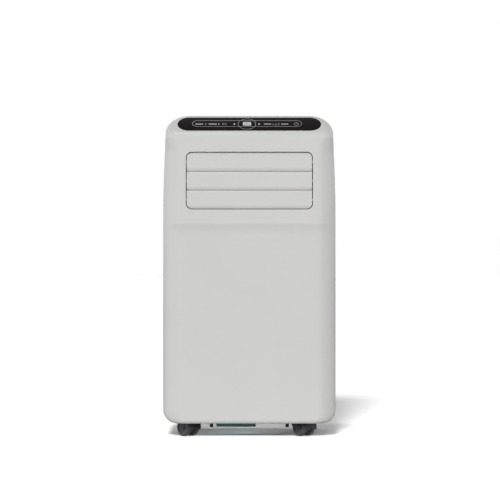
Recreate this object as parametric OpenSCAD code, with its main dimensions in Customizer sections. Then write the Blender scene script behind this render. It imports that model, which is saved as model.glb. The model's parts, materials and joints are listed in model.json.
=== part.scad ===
// Portable air conditioner on casters. A cabinet of two covers on a base pan holds an upper cooling
// air path, which leaves through a leaned louvre at the front, and a lower heat-rejection air path,
// which leaves through a round exhaust port at the back.
// X is to the right, Y to the back and Z up. The origin is on the floor under the cabinet's centre.

/* [Cabinet] */
// Width across the straight sides
body_w = 345; // [335:1:365]
// Depth from the crest of the front to the back
body_d = 320; // [316:1:340]
// Height of the flat top above the floor
body_top = 642.5; // [638:0.5:660]
// Height of the cabinet's underside above the floor
ground_gap = 27; // [24:1:32]
// Wall of the moulded covers
wall = 3; // [2.5:0.1:3.5]
// Radius of the upright corners
corner_r = 38; // [30:1:42]
// Radius of the upright corners beside the control panel
top_corner_r = 18; // [14:1:22]
// Rounding of the lower side edges
bottom_r = 26.5; // [22:0.5:30]
// Rounding of the lower front edge
front_bottom_r = 8; // [6:1:22]
// Rounding of the lower back edge
rear_bottom_r = 10; // [6:1:14]
// Width of the rounding along the top side edges
top_round_w = 45; // [38:1:48]
// Height of the rounding along the top edges
top_round_h = 37; // [34:1:40]
// Depth of the rounding along the top back edge
rear_round_d = 30; // [20:1:36]
// How far each side leans in between the crest and the top edges
side_taper = 4.9; // [2:0.1:8]
// Distance from the flat top down to the crest across the front
crest_drop = 217.5; // [214:0.5:226]
// How far the crest stands out over the lower front
crest_step = 3; // [1.5:0.5:5]
// Lean of the front face above the crest, in degrees
face_lean = 4; // [3:0.5:5]
// Depth of the rear cover, from the seam to the back
rear_cover_d = 136; // [122:1:140]
// Gap at the seams between covers
seam_gap = 0.4; // [0.3:0.1:0.8]

/* [Control panel] */
// Distance from each straight side to the glossy touch panel
panel_side = 29; // [28.5:0.5:37]
// Height of the touch panel along its slope
panel_h = 44; // [36:1:44]
// Thickness of the touch panel
panel_t = 3; // [2.5:0.5:3]
// Slope of the touch panel from level, in degrees
panel_tilt = 38.5; // [38:0.5:39]
// Width of the lit display behind the panel
display_w = 16; // [12:1:20]
// Height of the lit display behind the panel
display_h = 12; // [8:1:14]
// Sideways place of the display's centre
display_x = -5; // [-10:1:10]

/* [Louvre] */
// Distance from each straight side to the louvre's opening
louvre_side = 46; // [45:0.5:51]
// Height from one blade to the next
blade_pitch = 37.6; // [37:0.1:38]
// Distance from the flat top down to the louvre's centre
louvre_drop = 131.2; // [130:0.1:133]
// Thickness of a blade
blade_t = 3; // [2.4:0.1:3.2]
// Groove around the blades
groove = 1.6; // [1.2:0.1:2]
// Corner radius of the louvre opening
louvre_r = 12; // [9:0.5:14]
// Number of upright vanes behind the blades
vane_count = 5; // [5]
// Distance from one vane to the next
vane_pitch = 42; // [38:1:44]
// Front-to-back length of a vane
vane_chord = 34; // [28:1:36]
// Thickness of a vane
vane_t = 1.6; // [1.4:0.1:2]
// Radius of the blades' pivot pins
pivot_r = 2.5; // [2:0.1:3]
// Radius of the links' pins and of the vanes' pins
link_pin_r = 1.5; // [1.2:0.1:1.8]
// Wall of the outlet duct
duct_wall = 2.5; // [2:0.1:3]

/* [Air movers] */
// Radius of the cooling fan wheel
cool_wheel_r = 54; // [50:1:55]
// Radius of the exhaust fan wheel
hot_wheel_r = 64; // [56:1:66]
// Length of both fan wheels
wheel_len = 46; // [40:1:48]
// Number of blades of a fan wheel
wheel_blades = 24; // [16:2:30]
// Radius of the motor shafts
shaft_r = 4; // [3:0.5:5]
// Radius of the cooling fan motor
cool_motor_r = 33; // [28:1:34]
// Radius of the exhaust fan motor
hot_motor_r = 38; // [32:1:42]
// Length of both fan motors
motor_len = 50; // [40:1:54]
// Thickness of the housings' sheet
scroll_wall = 2.5; // [2:0.1:3]

/* [Exhaust port] */
// Radius of the exhaust port's bore
exhaust_r = 72; // [66:1:74]
// Distance from the drain deck down to the exhaust port's centre
exhaust_drop = 66; // [65:1:70]
// Length of the exhaust port's bore
exhaust_len = 24; // [20:1:26]

/* [Heat exchangers] */
// Depth of both heat exchangers
coil_d = 28; // [24:1:30]
// Distance from each straight side to the cooling coil
cool_coil_side = 48.5; // [46.5:0.5:57.5]
// Height of the cooling coil
cool_coil_h = 200; // [180:1:210]
// Distance from the right-hand straight side to the condenser coil
hot_coil_side = 132.5; // [126.5:0.5:152.5]
// Radius of the coils' tubes
tube_r = 4; // [3:0.5:5]

/* [Compressor] */
// Radius of the compressor's shell
comp_r = 52; // [46:1:54]
// Room over the compressor's shell, up to the top of the drain deck
comp_room = 93; // [80:1:113]
// Radius of the suction accumulator
accu_r = 22; // [18:1:23]
// Height of the suction accumulator
accu_h = 120; // [100:1:140]
// Radius of the refrigerant pipes
pipe_r = 4; // [3:0.5:5]

/* [Grilles and filters] */
// Distance from each straight side to the upper intake grille
upper_grille_side = 54.5; // [50.5:0.5:62.5]
// Height of the upper intake grille
upper_grille_h = 204; // [190:1:206]
// Distance from each straight side to the lower intake grille
lower_grille_side = 54.5; // [50.5:0.5:62.5]
// Distance from the lower intake grille up to the exhaust port's ring
grille_margin = 10; // [10:1:20]
// Height from one grille slat to the next
slat_pitch = 12; // [10:0.5:16]
// Thickness of a grille slat
slat_t = 4; // [3:0.5:5]
// Depth of a filter frame
filter_d = 5; // [4:0.5:6]
// Distance from one filter rib to the next
filter_pitch = 28; // [20:1:40]

/* [Casters] */
// Radius of a caster wheel
wheel_r = 17.5; // [16:0.5:18]
// Width of a caster wheel
caster_wheel_w = 10; // [8:0.5:10]
// Distance between the centres of a caster's two wheels
wheel_spacing = 22; // [20:0.5:22]
// How far the wheels trail behind the swivel axis
caster_trail = 10; // [8:0.5:11]
// Sideways distance from each straight side to a swivel axis
caster_side = 56.5; // [56.5:0.5:64]
// Distance from the crest and from the back to the swivel axes
caster_end = 51; // [51:1:60]
// Radius of a caster's axle
axle_r = 2.5; // [2:0.1:3]
// Radius of a caster's stem
stem_r = 4; // [3.5:0.1:5]

/* [Drains, grips and small parts] */
// Radius of a drain spout
drain_r = 6; // [5:0.5:8]
// Radius of the cord's gland
gland_r = 9; // [8:0.5:11]
// Width of a hand grip, front to back
grip_w = 96; // [80:1:100]
// Height of a hand grip
grip_h = 26; // [22:1:30]
// Distance from the flat top down to a hand grip's centre
grip_drop = 82.5; // [78:0.5:102]
// Depth of a hand grip into the cabinet
grip_d = 22; // [18:1:26]
// Height of the cabinet above the top of the drain deck
upper_h = 314.5; // [312:0.5:317]
// Radius of the cover screws' shanks
screw_r = 2; // [1.5:0.1:2.5]

/* [Hidden] */
$fn = 48;
run = 0.05;     // radial clearance of a pin that turns in its hole
seat = 0.3;     // clearance between pieces that move past each other
corner_steps = 5;

// outline of the cabinet
half_w = body_w / 2;
crest_y = -body_d / 2;
rear_y = body_d / 2;
front_y = crest_y + crest_step;
seam_y = rear_y - rear_cover_d;
crest_h = body_top - crest_drop;
crest_run = 10;
taper_start = 28;
taper_z = crest_h + taper_start;
top_join_z = body_top - top_round_h;
top_flat_w = half_w - side_taper - top_round_w;
lip_drop = 47.5;
panel_foot_drop = 30.5;
panel_head_drop = 4.5;
lip_z = body_top - lip_drop;
panel_foot_z = body_top - panel_foot_drop;
panel_head_z = body_top - panel_head_drop;
narrow_run = 60;
narrow_drop = 82.5;
narrow_z = body_top - narrow_drop;
face_slope = tan(face_lean);
panel_slope = 1 / tan(panel_tilt);
top_lip_run = 13;

// place of the leaned louvre frame, and of the sloping panel
louvre_z = body_top - louvre_drop;
louvre_y = crest_y + (louvre_z - crest_h) * face_slope;
lip_y = crest_y + (lip_z - crest_h) * face_slope;
panel_foot_y = lip_y + (panel_foot_z - lip_z) * (face_slope + panel_slope) / 2;
panel_head_y = panel_foot_y + (panel_head_z - panel_foot_z) * panel_slope;
panel_mid_z = (panel_foot_z + panel_head_z) / 2;
panel_mid_y = (panel_foot_y + panel_head_y) / 2;
panel_w = body_w - 2 * panel_side;
board_hw = panel_w / 2 - 58.5;
board_hd = 11;
board_t = 1.6;
lamp_t = 2.5;
lamp_hw = 2;
lamp_pitch = 20;
board_room = 9;

// base pan
pan_side = 22.5;
pan_front = 13;
pan_back = 9;
pan_hw = half_w - pan_side;
pan_y0 = front_y + pan_front;
pan_y1 = rear_y - pan_back;
pan_r = 24;
pan_floor = 3;
pan_h = 33;
floor_z = ground_gap + pan_floor;
flange_z = ground_gap + pan_h;
flange_t = 3;
caster_x = half_w - caster_side;
caster_y = rear_y - caster_end;
caster_yaw = 45;
caster_hw = (wheel_spacing + caster_wheel_w) / 2;
wheel_chord = sqrt(wheel_r * wheel_r - pow(ground_gap - wheel_r, 2));
well_r = norm([caster_hw, caster_trail + wheel_chord]) + 2;
well_wall = 2;
well_h = 17;
well_top = ground_gap + well_h;
boss_r = 9;
stem_top = flange_z;
inner_corner_r = corner_r - wall + 2;
bolt_x = caster_x - 40.3;
bolt_y = caster_y + 19;
bolt_r = 2;
bolt_head_r = 3.5;
bolt_head_h = 8;
nut_h = 4;

// drain deck
deck_t = 3;
deck_rim = 12;
deck_back = 40;
deck_z = body_top - upper_h;
deck_y1 = rear_y - deck_back;
deck_wall = 3;
leg_r = 6;
leg_x = half_w - 14.5;
leg_y = deck_y1 - 40;
trough_side = 10;
trough_end = 3;

// lower air path
exhaust_z = deck_z - exhaust_drop;
hot_x = 112.5 - half_w;
hot_z = floor_z + 120;
hot_y1 = rear_y - 56;
hot_y0 = hot_y1 - wheel_len - 10;
hot_r0 = hot_wheel_r + 4;
hot_r1 = hot_wheel_r + 20;
hot_top = hot_z + hot_r1 + 2;
hot_foot_x = 36;
hot_lip = 16;
wheel_plate = 2.5;
foot_hw = 4;
foot_len = 28;
outlet_w = 60;
box_drop = 18.5;
box_top = deck_z - box_drop;
box_hw = exhaust_r + 10;
port_face_y = rear_y - seat;
port_y0 = port_face_y - exhaust_len;
port_wall = 6;
port_flange = 6;
port_flange_t = 3;
duct_margin = 4;
hot_coil_x0 = 22.5 - half_w;
hot_coil_y0 = hot_y1 + 2;
hot_coil_z0 = floor_z + 36;
hot_coil_w = half_w - hot_coil_side - hot_coil_x0;
hot_coil_h = min(exhaust_z - exhaust_r - duct_margin, hot_top) - 2 - hot_coil_z0;

// upper air path
cool_coil_w = body_w - 2 * cool_coil_side;
cool_coil_y0 = deck_y1 - 2 - coil_d;
cool_x = 0;
cool_y1 = cool_coil_y0 - 16;
cool_y0 = cool_y1 - wheel_len - 8;
cool_r0 = cool_wheel_r + 3;
cool_r1 = cool_wheel_r + 10;
cool_foot_x = 30;
cool_lip = 14;
cool_z = deck_z + scroll_wall + 0.25 * cool_r0 + 0.75 * cool_r1;

// louvre, in its leaned frame: x across, y inwards, z up the face
blade_face = 0.8;
blade_gap = 0.8;
blade_half = (blade_pitch - blade_gap) / 2;
pivot_in = 9;
opening_w = body_w - 2 * louvre_side;
opening_h = 3 * blade_pitch - blade_gap + 2 * groove;
blade_w = opening_w - 2 * groove;
duct_hw = blade_w / 2 + 2.6;
duct_flange = 3;
duct_flange_t = 2;
duct_run = body_d / 2 + 40;
duct_z0 = -opening_h / 2 - 9;
duct_z1 = opening_h / 2 + 5;
link_in = pivot_in + 4;
link_drop = 22;
link_x = duct_hw - 21.5;
vane_in = 54;
vane_link_in = vane_in + 11;
vane_link_z = -47;
vane_z0 = duct_z0 + seat;
vane_z1 = duct_z1 - seat;

// plenum between the cooling fan and the outlet duct
duct_fall = (cool_y0 - louvre_y) * sin(face_lean);
plenum_gap = 0.6;
plenum_hw = duct_hw + plenum_gap;
plenum_z0 = louvre_z + duct_z0 - duct_wall - duct_fall - plenum_gap;
plenum_z1 = louvre_z + duct_z1 + duct_wall - duct_fall + plenum_gap;

// intake grilles
upper_grille_w = body_w - 2 * upper_grille_side;
upper_grille_z = body_top - 155.5;
lower_grille_w = body_w - 2 * lower_grille_side;
grille_r = 10;
grille_rim = 3;
lower_grille_z0 = flange_z + grille_rim + 1;
lower_grille_h = exhaust_z - exhaust_r - port_wall - grille_margin - lower_grille_z0;
lower_grille_z = lower_grille_z0 + lower_grille_h / 2;
grille_lip = 6;
grille_gap = 0.4;
grille_y1 = rear_y - seat;
grille_t = 6;
grille_band = 8;
grille_rib = 1.5;
filter_band = 5;
filter_rib = 0.8;
grille_y0 = grille_y1 - grille_t;
ledge_y1 = grille_y0 - seat;
ledge_t = 3;

// compressor and refrigerant circuit
comp_rim = 4;
comp_x = pan_hw - seat - pan_floor - comp_r - comp_rim - 0.7;
comp_y = hot_y0 - 48;
comp_z = floor_z + 15;
comp_plate = 3;
comp_h = deck_z - comp_room - comp_z;
foot_orbit = comp_r + 8;
foot_pin_r = 3;
grommet_r = 9;
accu_x = comp_x - 66;
accu_y = comp_y - 45;
accu_z = floor_z + 36;
suction_x = half_w - 27.5;
suction_y = cool_coil_y0 + coil_d / 2;
tube_pitch = 25;

// condensate slinger and float
sheet = 2;
sling_r = 18;
sling_w = 8;
sling_boss_r = 7;
sling_disc = 2;
sling_motor_r = 15;
sling_shaft = 24;
sling_x = hot_coil_x0 + hot_coil_w + sheet + sling_r + 2;
sling_y = hot_y1;
sling_z = floor_z + sling_r + 5;
float_x = comp_x - 30;
float_y = front_y + 45;
float_r = 10;
float_h = 12;
rod_r = 2;

// drains, gland, grips and screws
drain_x = half_w - 68.5;
upper_drain_z = deck_z - 9;
lower_drain_z = floor_z + 14;
spout_wall = 2;
plug_in = 7.5;
plug_y = rear_y - plug_in;
plug_head_r = 9.5;
plug_hole_r = plug_head_r + 1.5;
gland_x = 54.5 - half_w;
gland_z = exhaust_z - 50;
cable_r = 4;
grip_y = seam_y + grip_w / 2 + 8;
grip_z = body_top - grip_drop;
grip_wall = 2.5;
screw_x = half_w - 44.5;
screw_head_r = 3.8;
screw_post = 6;
screw_len = 14;
lower_screw_z = flange_z + screw_len;

// electrics
box_x1 = half_w - 22.5;
box_w = 98;
box_d = 80;
box_h = 84;
box_x0 = box_x1 - box_w;
box_y0 = front_y + 25;
box_y1 = box_y0 + box_d;
board_in = 6;
post_in = 2 * board_in;
standoff = 5;

// condensate sump under the base pan
sump_x = -27;
sump_y = -60;
sump_w = 80;
sump_d = 100;
sump_h = 11;
sump_r = 10;
sump_wall = 2.5;

shell_colour = [0.80, 0.80, 0.79];
dark = [0.20, 0.20, 0.21];

// ---- outline of the cabinet, g inside its outer surface ----
function arc_in(t) = 1 - sqrt(max(0, 1 - t * t));
function arc_out(t) = sqrt(max(0, 1 - t * t));
function ease(t) = let(u = min(1, max(0, t))) u * u * (3 - 2 * u);
function bottom_drop(z, g, r) = z < ground_gap + r
    ? (r - g) * arc_in(min(1, (ground_gap + r - z) / (r - g))) : 0;
function half_width(z, g) = z > top_join_z
    ? top_flat_w + (top_round_w - g) * arc_out(min(1, (z - top_join_z) / (top_round_h - g)))
    : z > taper_z ? half_w - g - side_taper * pow((z - taper_z) / (top_join_z - taper_z), 1.6)
    : half_w - g - bottom_drop(z, g, bottom_r);
function face_line(z) = z > panel_head_z
    ? panel_head_y + top_lip_run * arc_in(min(1, (z - panel_head_z) / (body_top - panel_head_z)))
    : z > panel_foot_z ? panel_foot_y + (z - panel_foot_z) * panel_slope
    : z > lip_z ? lip_y + (z - lip_z) * face_slope
        + (panel_slope - face_slope) * pow(z - lip_z, 2) / (2 * (panel_foot_z - lip_z))
    : z > crest_h ? crest_y + (z - crest_h) * face_slope
    : front_y - crest_step * ease((z - crest_h + crest_run) / crest_run);
function slope_at(z) = z > panel_foot_z ? panel_slope
    : z > lip_z ? face_slope + (panel_slope - face_slope) * (z - lip_z) / (panel_foot_z - lip_z)
    : z > crest_h ? face_slope : 0;
function inner_line(z) = z > panel_foot_z ? panel_foot_y + (z - panel_foot_z) * panel_slope : face_line(z);
function front_line(z, g) = g == 0 ? face_line(z) + bottom_drop(z, 0, front_bottom_r)
    : inner_line(z) + g * sqrt(1 + pow(slope_at(z), 2)) + bottom_drop(z, g, front_bottom_r);
function back_line(z, g) = z > top_join_z
    ? rear_y - rear_round_d + (rear_round_d - g) * arc_out(min(1, (z - top_join_z) / (top_round_h - g)))
    : rear_y - g - bottom_drop(z, g, rear_bottom_r);
function ring_r(z, g) = z < ground_gap + bottom_r ? corner_r - g - 0.6 * bottom_drop(z, g, bottom_r)
    : corner_r - g - (corner_r - top_corner_r) * ease((z - narrow_z) / narrow_run);
function ring(z, g) = let(a = half_width(z, g), y0 = front_line(z, g), y1 = back_line(z, g), r = ring_r(z, g))
    [for (q = [0:3], k = [0:corner_steps]) let(t = 90 * q + 90 * k / corner_steps)
        [(q == 0 || q == 3 ? a - r : r - a) + r * cos(t), (q < 2 ? y1 - r : y0 + r) + r * sin(t), z]];
function low_heights(g) = [for (t = [0:18:90]) ground_gap + bottom_r - (bottom_r - g) * cos(t)];
mid_heights = [crest_h - crest_run, crest_h - 0.65 * crest_run, crest_h - 0.35 * crest_run, crest_h,
    taper_z, taper_z + 55, narrow_z, narrow_z + 20, lip_z, lip_z + 6, top_join_z, panel_foot_z - 3,
    panel_foot_z, panel_foot_z + 7, panel_foot_z + 14];
top_heights = [panel_head_z - 6, panel_head_z, body_top - 1.8, body_top - 0.4, body_top];
inner_heights = [panel_head_z - 7, panel_head_z - 3, body_top - wall - 1, body_top - wall];

// a closed skin through rings of equal count, each ring running anticlockwise seen from above
module loft(rings) {
    n = len(rings[0]);
    m = len(rings);
    points = [for (r = rings, p = r) p];
    sides = [for (i = [0:m - 2], k = [0:n - 1]) let(a = i * n + k, b = i * n + (k + 1) % n)
        each [[a, a + n, b], [b, a + n, b + n]]];
    caps = [[for (k = [0:n - 1]) k], [for (k = [n - 1:-1:0]) (m - 1) * n + k]];
    polyhedron(points, concat(sides, caps), convexity = 6);
}
module cabinet_solid() {
    loft([for (z = concat(low_heights(0), mid_heights, top_heights)) ring(z, 0)]);
}
module cabinet_hollow() {
    loft([for (z = concat(low_heights(wall), mid_heights, inner_heights)) ring(z, wall)]);
}

// ---- plain shapes ----
module rounded(w, y0, y1, r) {
    translate([-w / 2 + r, y0]) square([w - 2 * r, y1 - y0]);
    translate([-w / 2, y0 + r]) square([w, y1 - y0 - 2 * r]);
    for (x = [-1, 1], y = [y0 + r, y1 - r]) translate([x * (w / 2 - r), y]) circle(r);
}
module slab(w, y0, y1, r, z0, z1) {
    translate([0, 0, z0]) linear_extrude(z1 - z0) rounded(w, y0, y1, r);
}
module stadium(l, h, t) {
    linear_extrude(t) {
        square([l - h, h], center = true);
        for (x = [-1, 1]) translate([x * (l - h) / 2, 0]) circle(h / 2);
    }
}
module box(x0, x1, y0, y1, z0, z1) {
    translate([x0, y0, z0]) cube([x1 - x0, y1 - y0, z1 - z0]);
}
// a cylinder along Y, from y0 to y1
module rod_y(r, y0, y1) {
    translate([0, y0, 0]) rotate([-90, 0, 0]) cylinder(r = r, h = y1 - y0);
}
// a cylinder along X, from x0 to x1
module rod_x(r, x0, x1) {
    translate([x0, 0, 0]) rotate([0, 90, 0]) cylinder(r = r, h = x1 - x0);
}
// an upright plate seen from the back or front, from y0 to y1, drawn in X and Z
module upright(y0, y1) {
    translate([0, y1, 0]) rotate([90, 0, 0]) linear_extrude(y1 - y0) children();
}
module at_louvre() {
    translate([0, louvre_y, louvre_z]) rotate([-face_lean, 0, 0]) children();
}
module at_panel() {
    translate([0, panel_mid_y, panel_mid_z]) rotate([panel_tilt, 0, 0]) children();
}

// ---- cabinet ----
module skin(y0, y1) {
    intersection() {
        difference() {
            cabinet_solid();
            cabinet_hollow();
            slab(2 * pan_hw, pan_y0, pan_y1, pan_r, ground_gap - 1, floor_z + 1);
        }
        box(-body_w, body_w, y0, y1, 0, body_top + 1);
    }
}
module louvre_opening(grow) {
    translate([0, 8, 0]) rotate([90, 0, 0]) linear_extrude(24)
        rounded(opening_w + 2 * grow, -opening_h / 2 - grow, opening_h / 2 + grow, louvre_r + grow);
}
module front_cover() {
    color(shell_colour) difference() {
        union() {
            skin(crest_y - 1, seam_y - seam_gap / 2);
            at_panel() translate([0, 0, -panel_t - 2]) stadium(panel_w + 6, panel_h + 3, 2.6);
        }
        at_louvre() louvre_opening(0);
        at_panel() translate([0, 0, -panel_t]) stadium(panel_w + 2 * seat, panel_h + 2 * seat, panel_t + 9);
        at_panel() translate([display_x, 0, -panel_t - board_room])
            box(-board_hw - 5, board_hw + 5, -board_hd - 2, board_hd + 2, 0, board_room);
    }
}
module grille_frame(w, h, zc) {
    upright(ledge_y1 - ledge_t, rear_y - 1) difference() {
        rounded(w + 2 * grille_rim, zc - h / 2 - grille_rim, zc + h / 2 + grille_rim, grille_r + grille_rim);
        rounded(w, zc - h / 2, zc + h / 2, grille_r);
    }
    upright(ledge_y1 - ledge_t, ledge_y1) difference() {
        rounded(w + grille_rim, zc - h / 2 - 1, zc + h / 2 + 1, grille_r);
        rounded(w - 2 * grille_lip, zc - h / 2 + grille_lip, zc + h / 2 - grille_lip, grille_r - 4);
    }
}
module grille_hole(w, h, zc) {
    upright(grille_y0 - 1, rear_y + 1) rounded(w, zc - h / 2, zc + h / 2, grille_r);
}
// a hand grip's cup on the right-hand side, grown by g
module grip_cup(g) {
    rotate([0, 0, 90]) rotate([90, 0, 0]) translate([0, 0, half_width(grip_z, 0) - grip_d - g])
        linear_extrude(grip_d + g - (g > 0 ? wall / 2 : -9)) translate([grip_y, 0])
        rounded(grip_w + 2 * g, grip_z - grip_h / 2 - g, grip_z + grip_h / 2 + g, grip_h / 2 - 1 + g);
}
module grip_pair(g) {
    grip_cup(g);
    mirror([1, 0, 0]) grip_cup(g);
}
module rear_cover() {
    color(shell_colour) difference() {
        union() {
            difference() {
                skin(seam_y + seam_gap / 2, rear_y + 1);
                grille_hole(upper_grille_w, upper_grille_h, upper_grille_z);
                grille_hole(lower_grille_w, lower_grille_h, lower_grille_z);
            }
            grille_frame(upper_grille_w, upper_grille_h, upper_grille_z);
            grille_frame(lower_grille_w, lower_grille_h, lower_grille_z);
            grip_pair(grip_wall);
        }
        grip_pair(0);
        translate([0, 0, exhaust_z]) rod_y(exhaust_r + port_wall + seat, rear_y - 9, rear_y + 1);
        for (z = [upper_drain_z, lower_drain_z])
            translate([drain_x, 0, z]) rod_y(plug_hole_r, rear_y - 9, rear_y + 1);
        translate([gland_x, 0, gland_z]) rod_y(gland_r + seat, rear_y - 9, rear_y + 1);
        for (x = [-1, 1], z = [upper_drain_z, lower_screw_z]) translate([x * screw_x, 0, z]) {
            rod_y(screw_r + 0.2, rear_y - 9, rear_y + 1);
            rod_y(screw_head_r + seat, rear_y - wall / 2, rear_y + 1);
        }
    }
}
module pan_ring(inset, z0, z1) {
    slab(2 * (pan_hw - seat - inset), pan_y0 + seat + inset, pan_y1 - seat - inset, pan_r - inset, z0, z1);
}
module spout(y0, y1) {
    rod_y(drain_r + spout_wall, y0, y1);
}
module base_pan() {
    color("dimgray") difference() {
        union() {
            difference() {
                pan_ring(0, ground_gap, flange_z);
                pan_ring(pan_floor, floor_z, flange_z + 1);
            }
            difference() {
                slab(body_w - 2 * wall - 2 * seat, front_y + wall + seat, rear_y - wall - seat,
                    inner_corner_r, flange_z - flange_t, flange_z);
                pan_ring(pan_floor, flange_z - flange_t - 1, flange_z + 1);
            }
            for (x = [-1, 1], y = [-1, 1]) translate([x * caster_x, y * caster_y, ground_gap]) {
                cylinder(r = well_r + well_wall, h = well_h + pan_floor);
                cylinder(r = boss_r, h = stem_top + 4 - ground_gap);
            }
            for (a = [0:120:240]) translate([comp_x, comp_y, ground_gap]) rotate(a + 60)
                translate([foot_orbit, 0, 0]) cylinder(r = foot_pin_r, h = comp_z + 6 - ground_gap);
            for (x = [-1, 1]) box(x * screw_x - screw_post, x * screw_x + screw_post,
                rear_y - screw_len - screw_post, rear_y - wall - seat, flange_z - 1,
                lower_screw_z + screw_post + 2);
            translate([drain_x, 0, lower_drain_z]) spout(pan_y1 - 2, plug_y);
        }
        for (x = [-1, 1], y = [-1, 1]) translate([x * caster_x, y * caster_y, 0]) {
            cylinder(r = well_r, h = well_top);
            cylinder(r = stem_r + run, h = stem_top);
        }
        translate([drain_x, 0, lower_drain_z]) rod_y(drain_r, pan_y1 - 9, rear_y);
        for (x = [-1, 1], y = [-1, 1]) translate([x * bolt_x, y * bolt_y, 0])
            cylinder(r = bolt_r + 0.2, h = floor_z + 1);
        for (x = [-1, 1]) translate([x * screw_x, 0, lower_screw_z])
            rod_y(screw_r + 0.01, rear_y - screw_len - 2, rear_y);
    }
}
module sump_tray() {
    color("teal") translate([sump_x, sump_y, 0]) difference() {
        slab(sump_w, 0, sump_d, sump_r, ground_gap - sump_h, ground_gap);
        slab(sump_w - 2 * sump_wall, sump_wall, sump_d - sump_wall, sump_r - sump_wall,
            ground_gap - sump_h + sump_wall, ground_gap + 1);
    }
}
module base_bolts() {
    color(dark) for (x = [-1, 1], y = [-1, 1]) translate([x * bolt_x, y * bolt_y, 0]) {
        translate([0, 0, ground_gap - bolt_head_h]) cylinder(r = bolt_head_r, h = bolt_head_h);
        translate([0, 0, ground_gap - 1]) cylinder(r = bolt_r, h = pan_floor + 2 * nut_h);
        translate([0, 0, floor_z]) cylinder(r = 2 * bolt_r, h = nut_h, $fn = 6);
    }
}
module cover_screws() {
    color(dark) for (x = [-1, 1], z = [upper_drain_z, lower_screw_z]) translate([x * screw_x, 0, z])
        difference() {
            union() {
                rod_y(screw_head_r, rear_y - wall / 2, rear_y - 0.1);
                rod_y(screw_r, rear_y - screw_len, rear_y - wall / 2 + 0.5);
            }
            for (a = [0, 90]) rotate([0, a, 0]) box(-2.2, 2.2, rear_y - 1, rear_y, -0.5, 0.5);
        }
}

// ---- control panel ----
module control_panel() {
    color([0.12, 0.11, 0.11]) at_panel() translate([0, 0, -panel_t]) stadium(panel_w, panel_h, panel_t);
}
module display_board() {
    at_panel() translate([display_x, 0, -panel_t]) {
        color("darkgreen") box(-board_hw, board_hw, -board_hd, board_hd, -lamp_t - board_t, -lamp_t);
        color("white") box(-display_w / 2, display_w / 2, -display_h / 2, display_h / 2, -lamp_t, 0);
        color("white") for (x = [15 - board_hw:lamp_pitch:board_hw - 15]) if (abs(x) > display_w)
            box(x - lamp_hw, x + lamp_hw, -lamp_hw, lamp_hw, -lamp_t, 0);
    }
}

// ---- louvre ----
module blade(i) {
    zc = (2 - i) * blade_pitch;
    h = blade_half;
    drive = i == 2 ? 6 : 0;
    color(shell_colour) at_louvre() translate([0, 0, zc]) {
        intersection() {
            translate([-blade_w / 2, blade_face, 0]) rotate([90, 0, 90]) linear_extrude(blade_w)
                polygon([[0, h], [0, 6 - h], [1, 2.8 - h], [2.6, -h], [4.8, -h], [4.2, 3.4 - h],
                    [blade_t, 7 - h], [blade_t, h]]);
            translate([0, 9, -zc]) rotate([90, 0, 0]) linear_extrude(10)
                rounded(blade_w, groove - opening_h / 2, opening_h / 2 - groove, louvre_r - groove);
        }
        for (x = [-1, 1]) translate([x * (blade_w / 2 - 4), 0, 0]) {
            box(-2, 2, blade_face + blade_t - 0.2, pivot_in, -4, 4);
            translate([0, pivot_in, 0]) rod_x(4, -2, 2);
        }
        translate([0, pivot_in, 0]) {
            rod_x(pivot_r, -duct_hw - duct_wall, 3 - blade_w / 2);
            rod_x(pivot_r, blade_w / 2 - 3, duct_hw + duct_wall + drive);
        }
        translate([link_x + 1.5, 0, 0]) rotate([90, 0, 90]) linear_extrude(2.5)
            polygon([[3.6, -6], [3.6, -12], [5.2, -17], [link_in - 4, -link_drop - 2],
                [link_in, -link_drop - 3.5], [link_in + 3, -link_drop], [link_in, -12]]);
        translate([0, link_in, -link_drop]) rod_x(link_pin_r, link_x - 2, link_x + 2);
    }
}
module blade_1() { blade(1); }
module blade_2() { blade(2); }
module blade_3() { blade(3); }
module louvre_link() {
    color(dark) at_louvre() translate([link_x - 1.2, 0, 0]) rotate([90, 0, 90]) linear_extrude(2.4)
        difference() {
            union() {
                translate([link_in - 3, -blade_pitch - link_drop]) square([6, 2 * blade_pitch]);
                for (k = [-1, 1]) translate([link_in, k * blade_pitch - link_drop]) circle(3);
            }
            for (k = [-1:1]) translate([link_in, k * blade_pitch - link_drop]) circle(link_pin_r + run);
        }
}
module louvre_motor() {
    color("silver") at_louvre() difference() {
        translate([duct_hw + duct_wall, 5.8, -14]) cube([16, 28, 28]);
        translate([0, pivot_in, 0]) rod_x(pivot_r + run, duct_hw, duct_hw + duct_wall + 7);
    }
}
module duct_outline(g) {
    translate([-duct_hw - g, duct_z0 - g]) square([2 * (duct_hw + g), duct_z1 - duct_z0 + 2 * g]);
}
module outlet_duct() {
    color("gainsboro") intersection() {
        at_louvre() difference() {
            union() {
                upright(wall + seat, duct_run) duct_outline(duct_wall);
                upright(wall + seat, wall + seat + duct_flange_t) duct_outline(duct_wall + duct_flange);
            }
            upright(wall + seat + duct_flange_t, duct_run + 1) duct_outline(0);
            louvre_opening(0);
            for (k = [-1:1]) translate([0, pivot_in, k * blade_pitch])
                rod_x(pivot_r + run, -duct_hw - 4, duct_hw + 4);
            for (k = [0:vane_count - 1]) translate([vane_x(k), vane_in, duct_z0 - 4])
                cylinder(r = link_pin_r + run, h = duct_z1 - duct_z0 + 8);
        }
        box(-body_w, body_w, -body_d, cool_y0, 0, body_top);
    }
}
function vane_x(k) = (k - (vane_count - 1) / 2) * vane_pitch;
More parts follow.
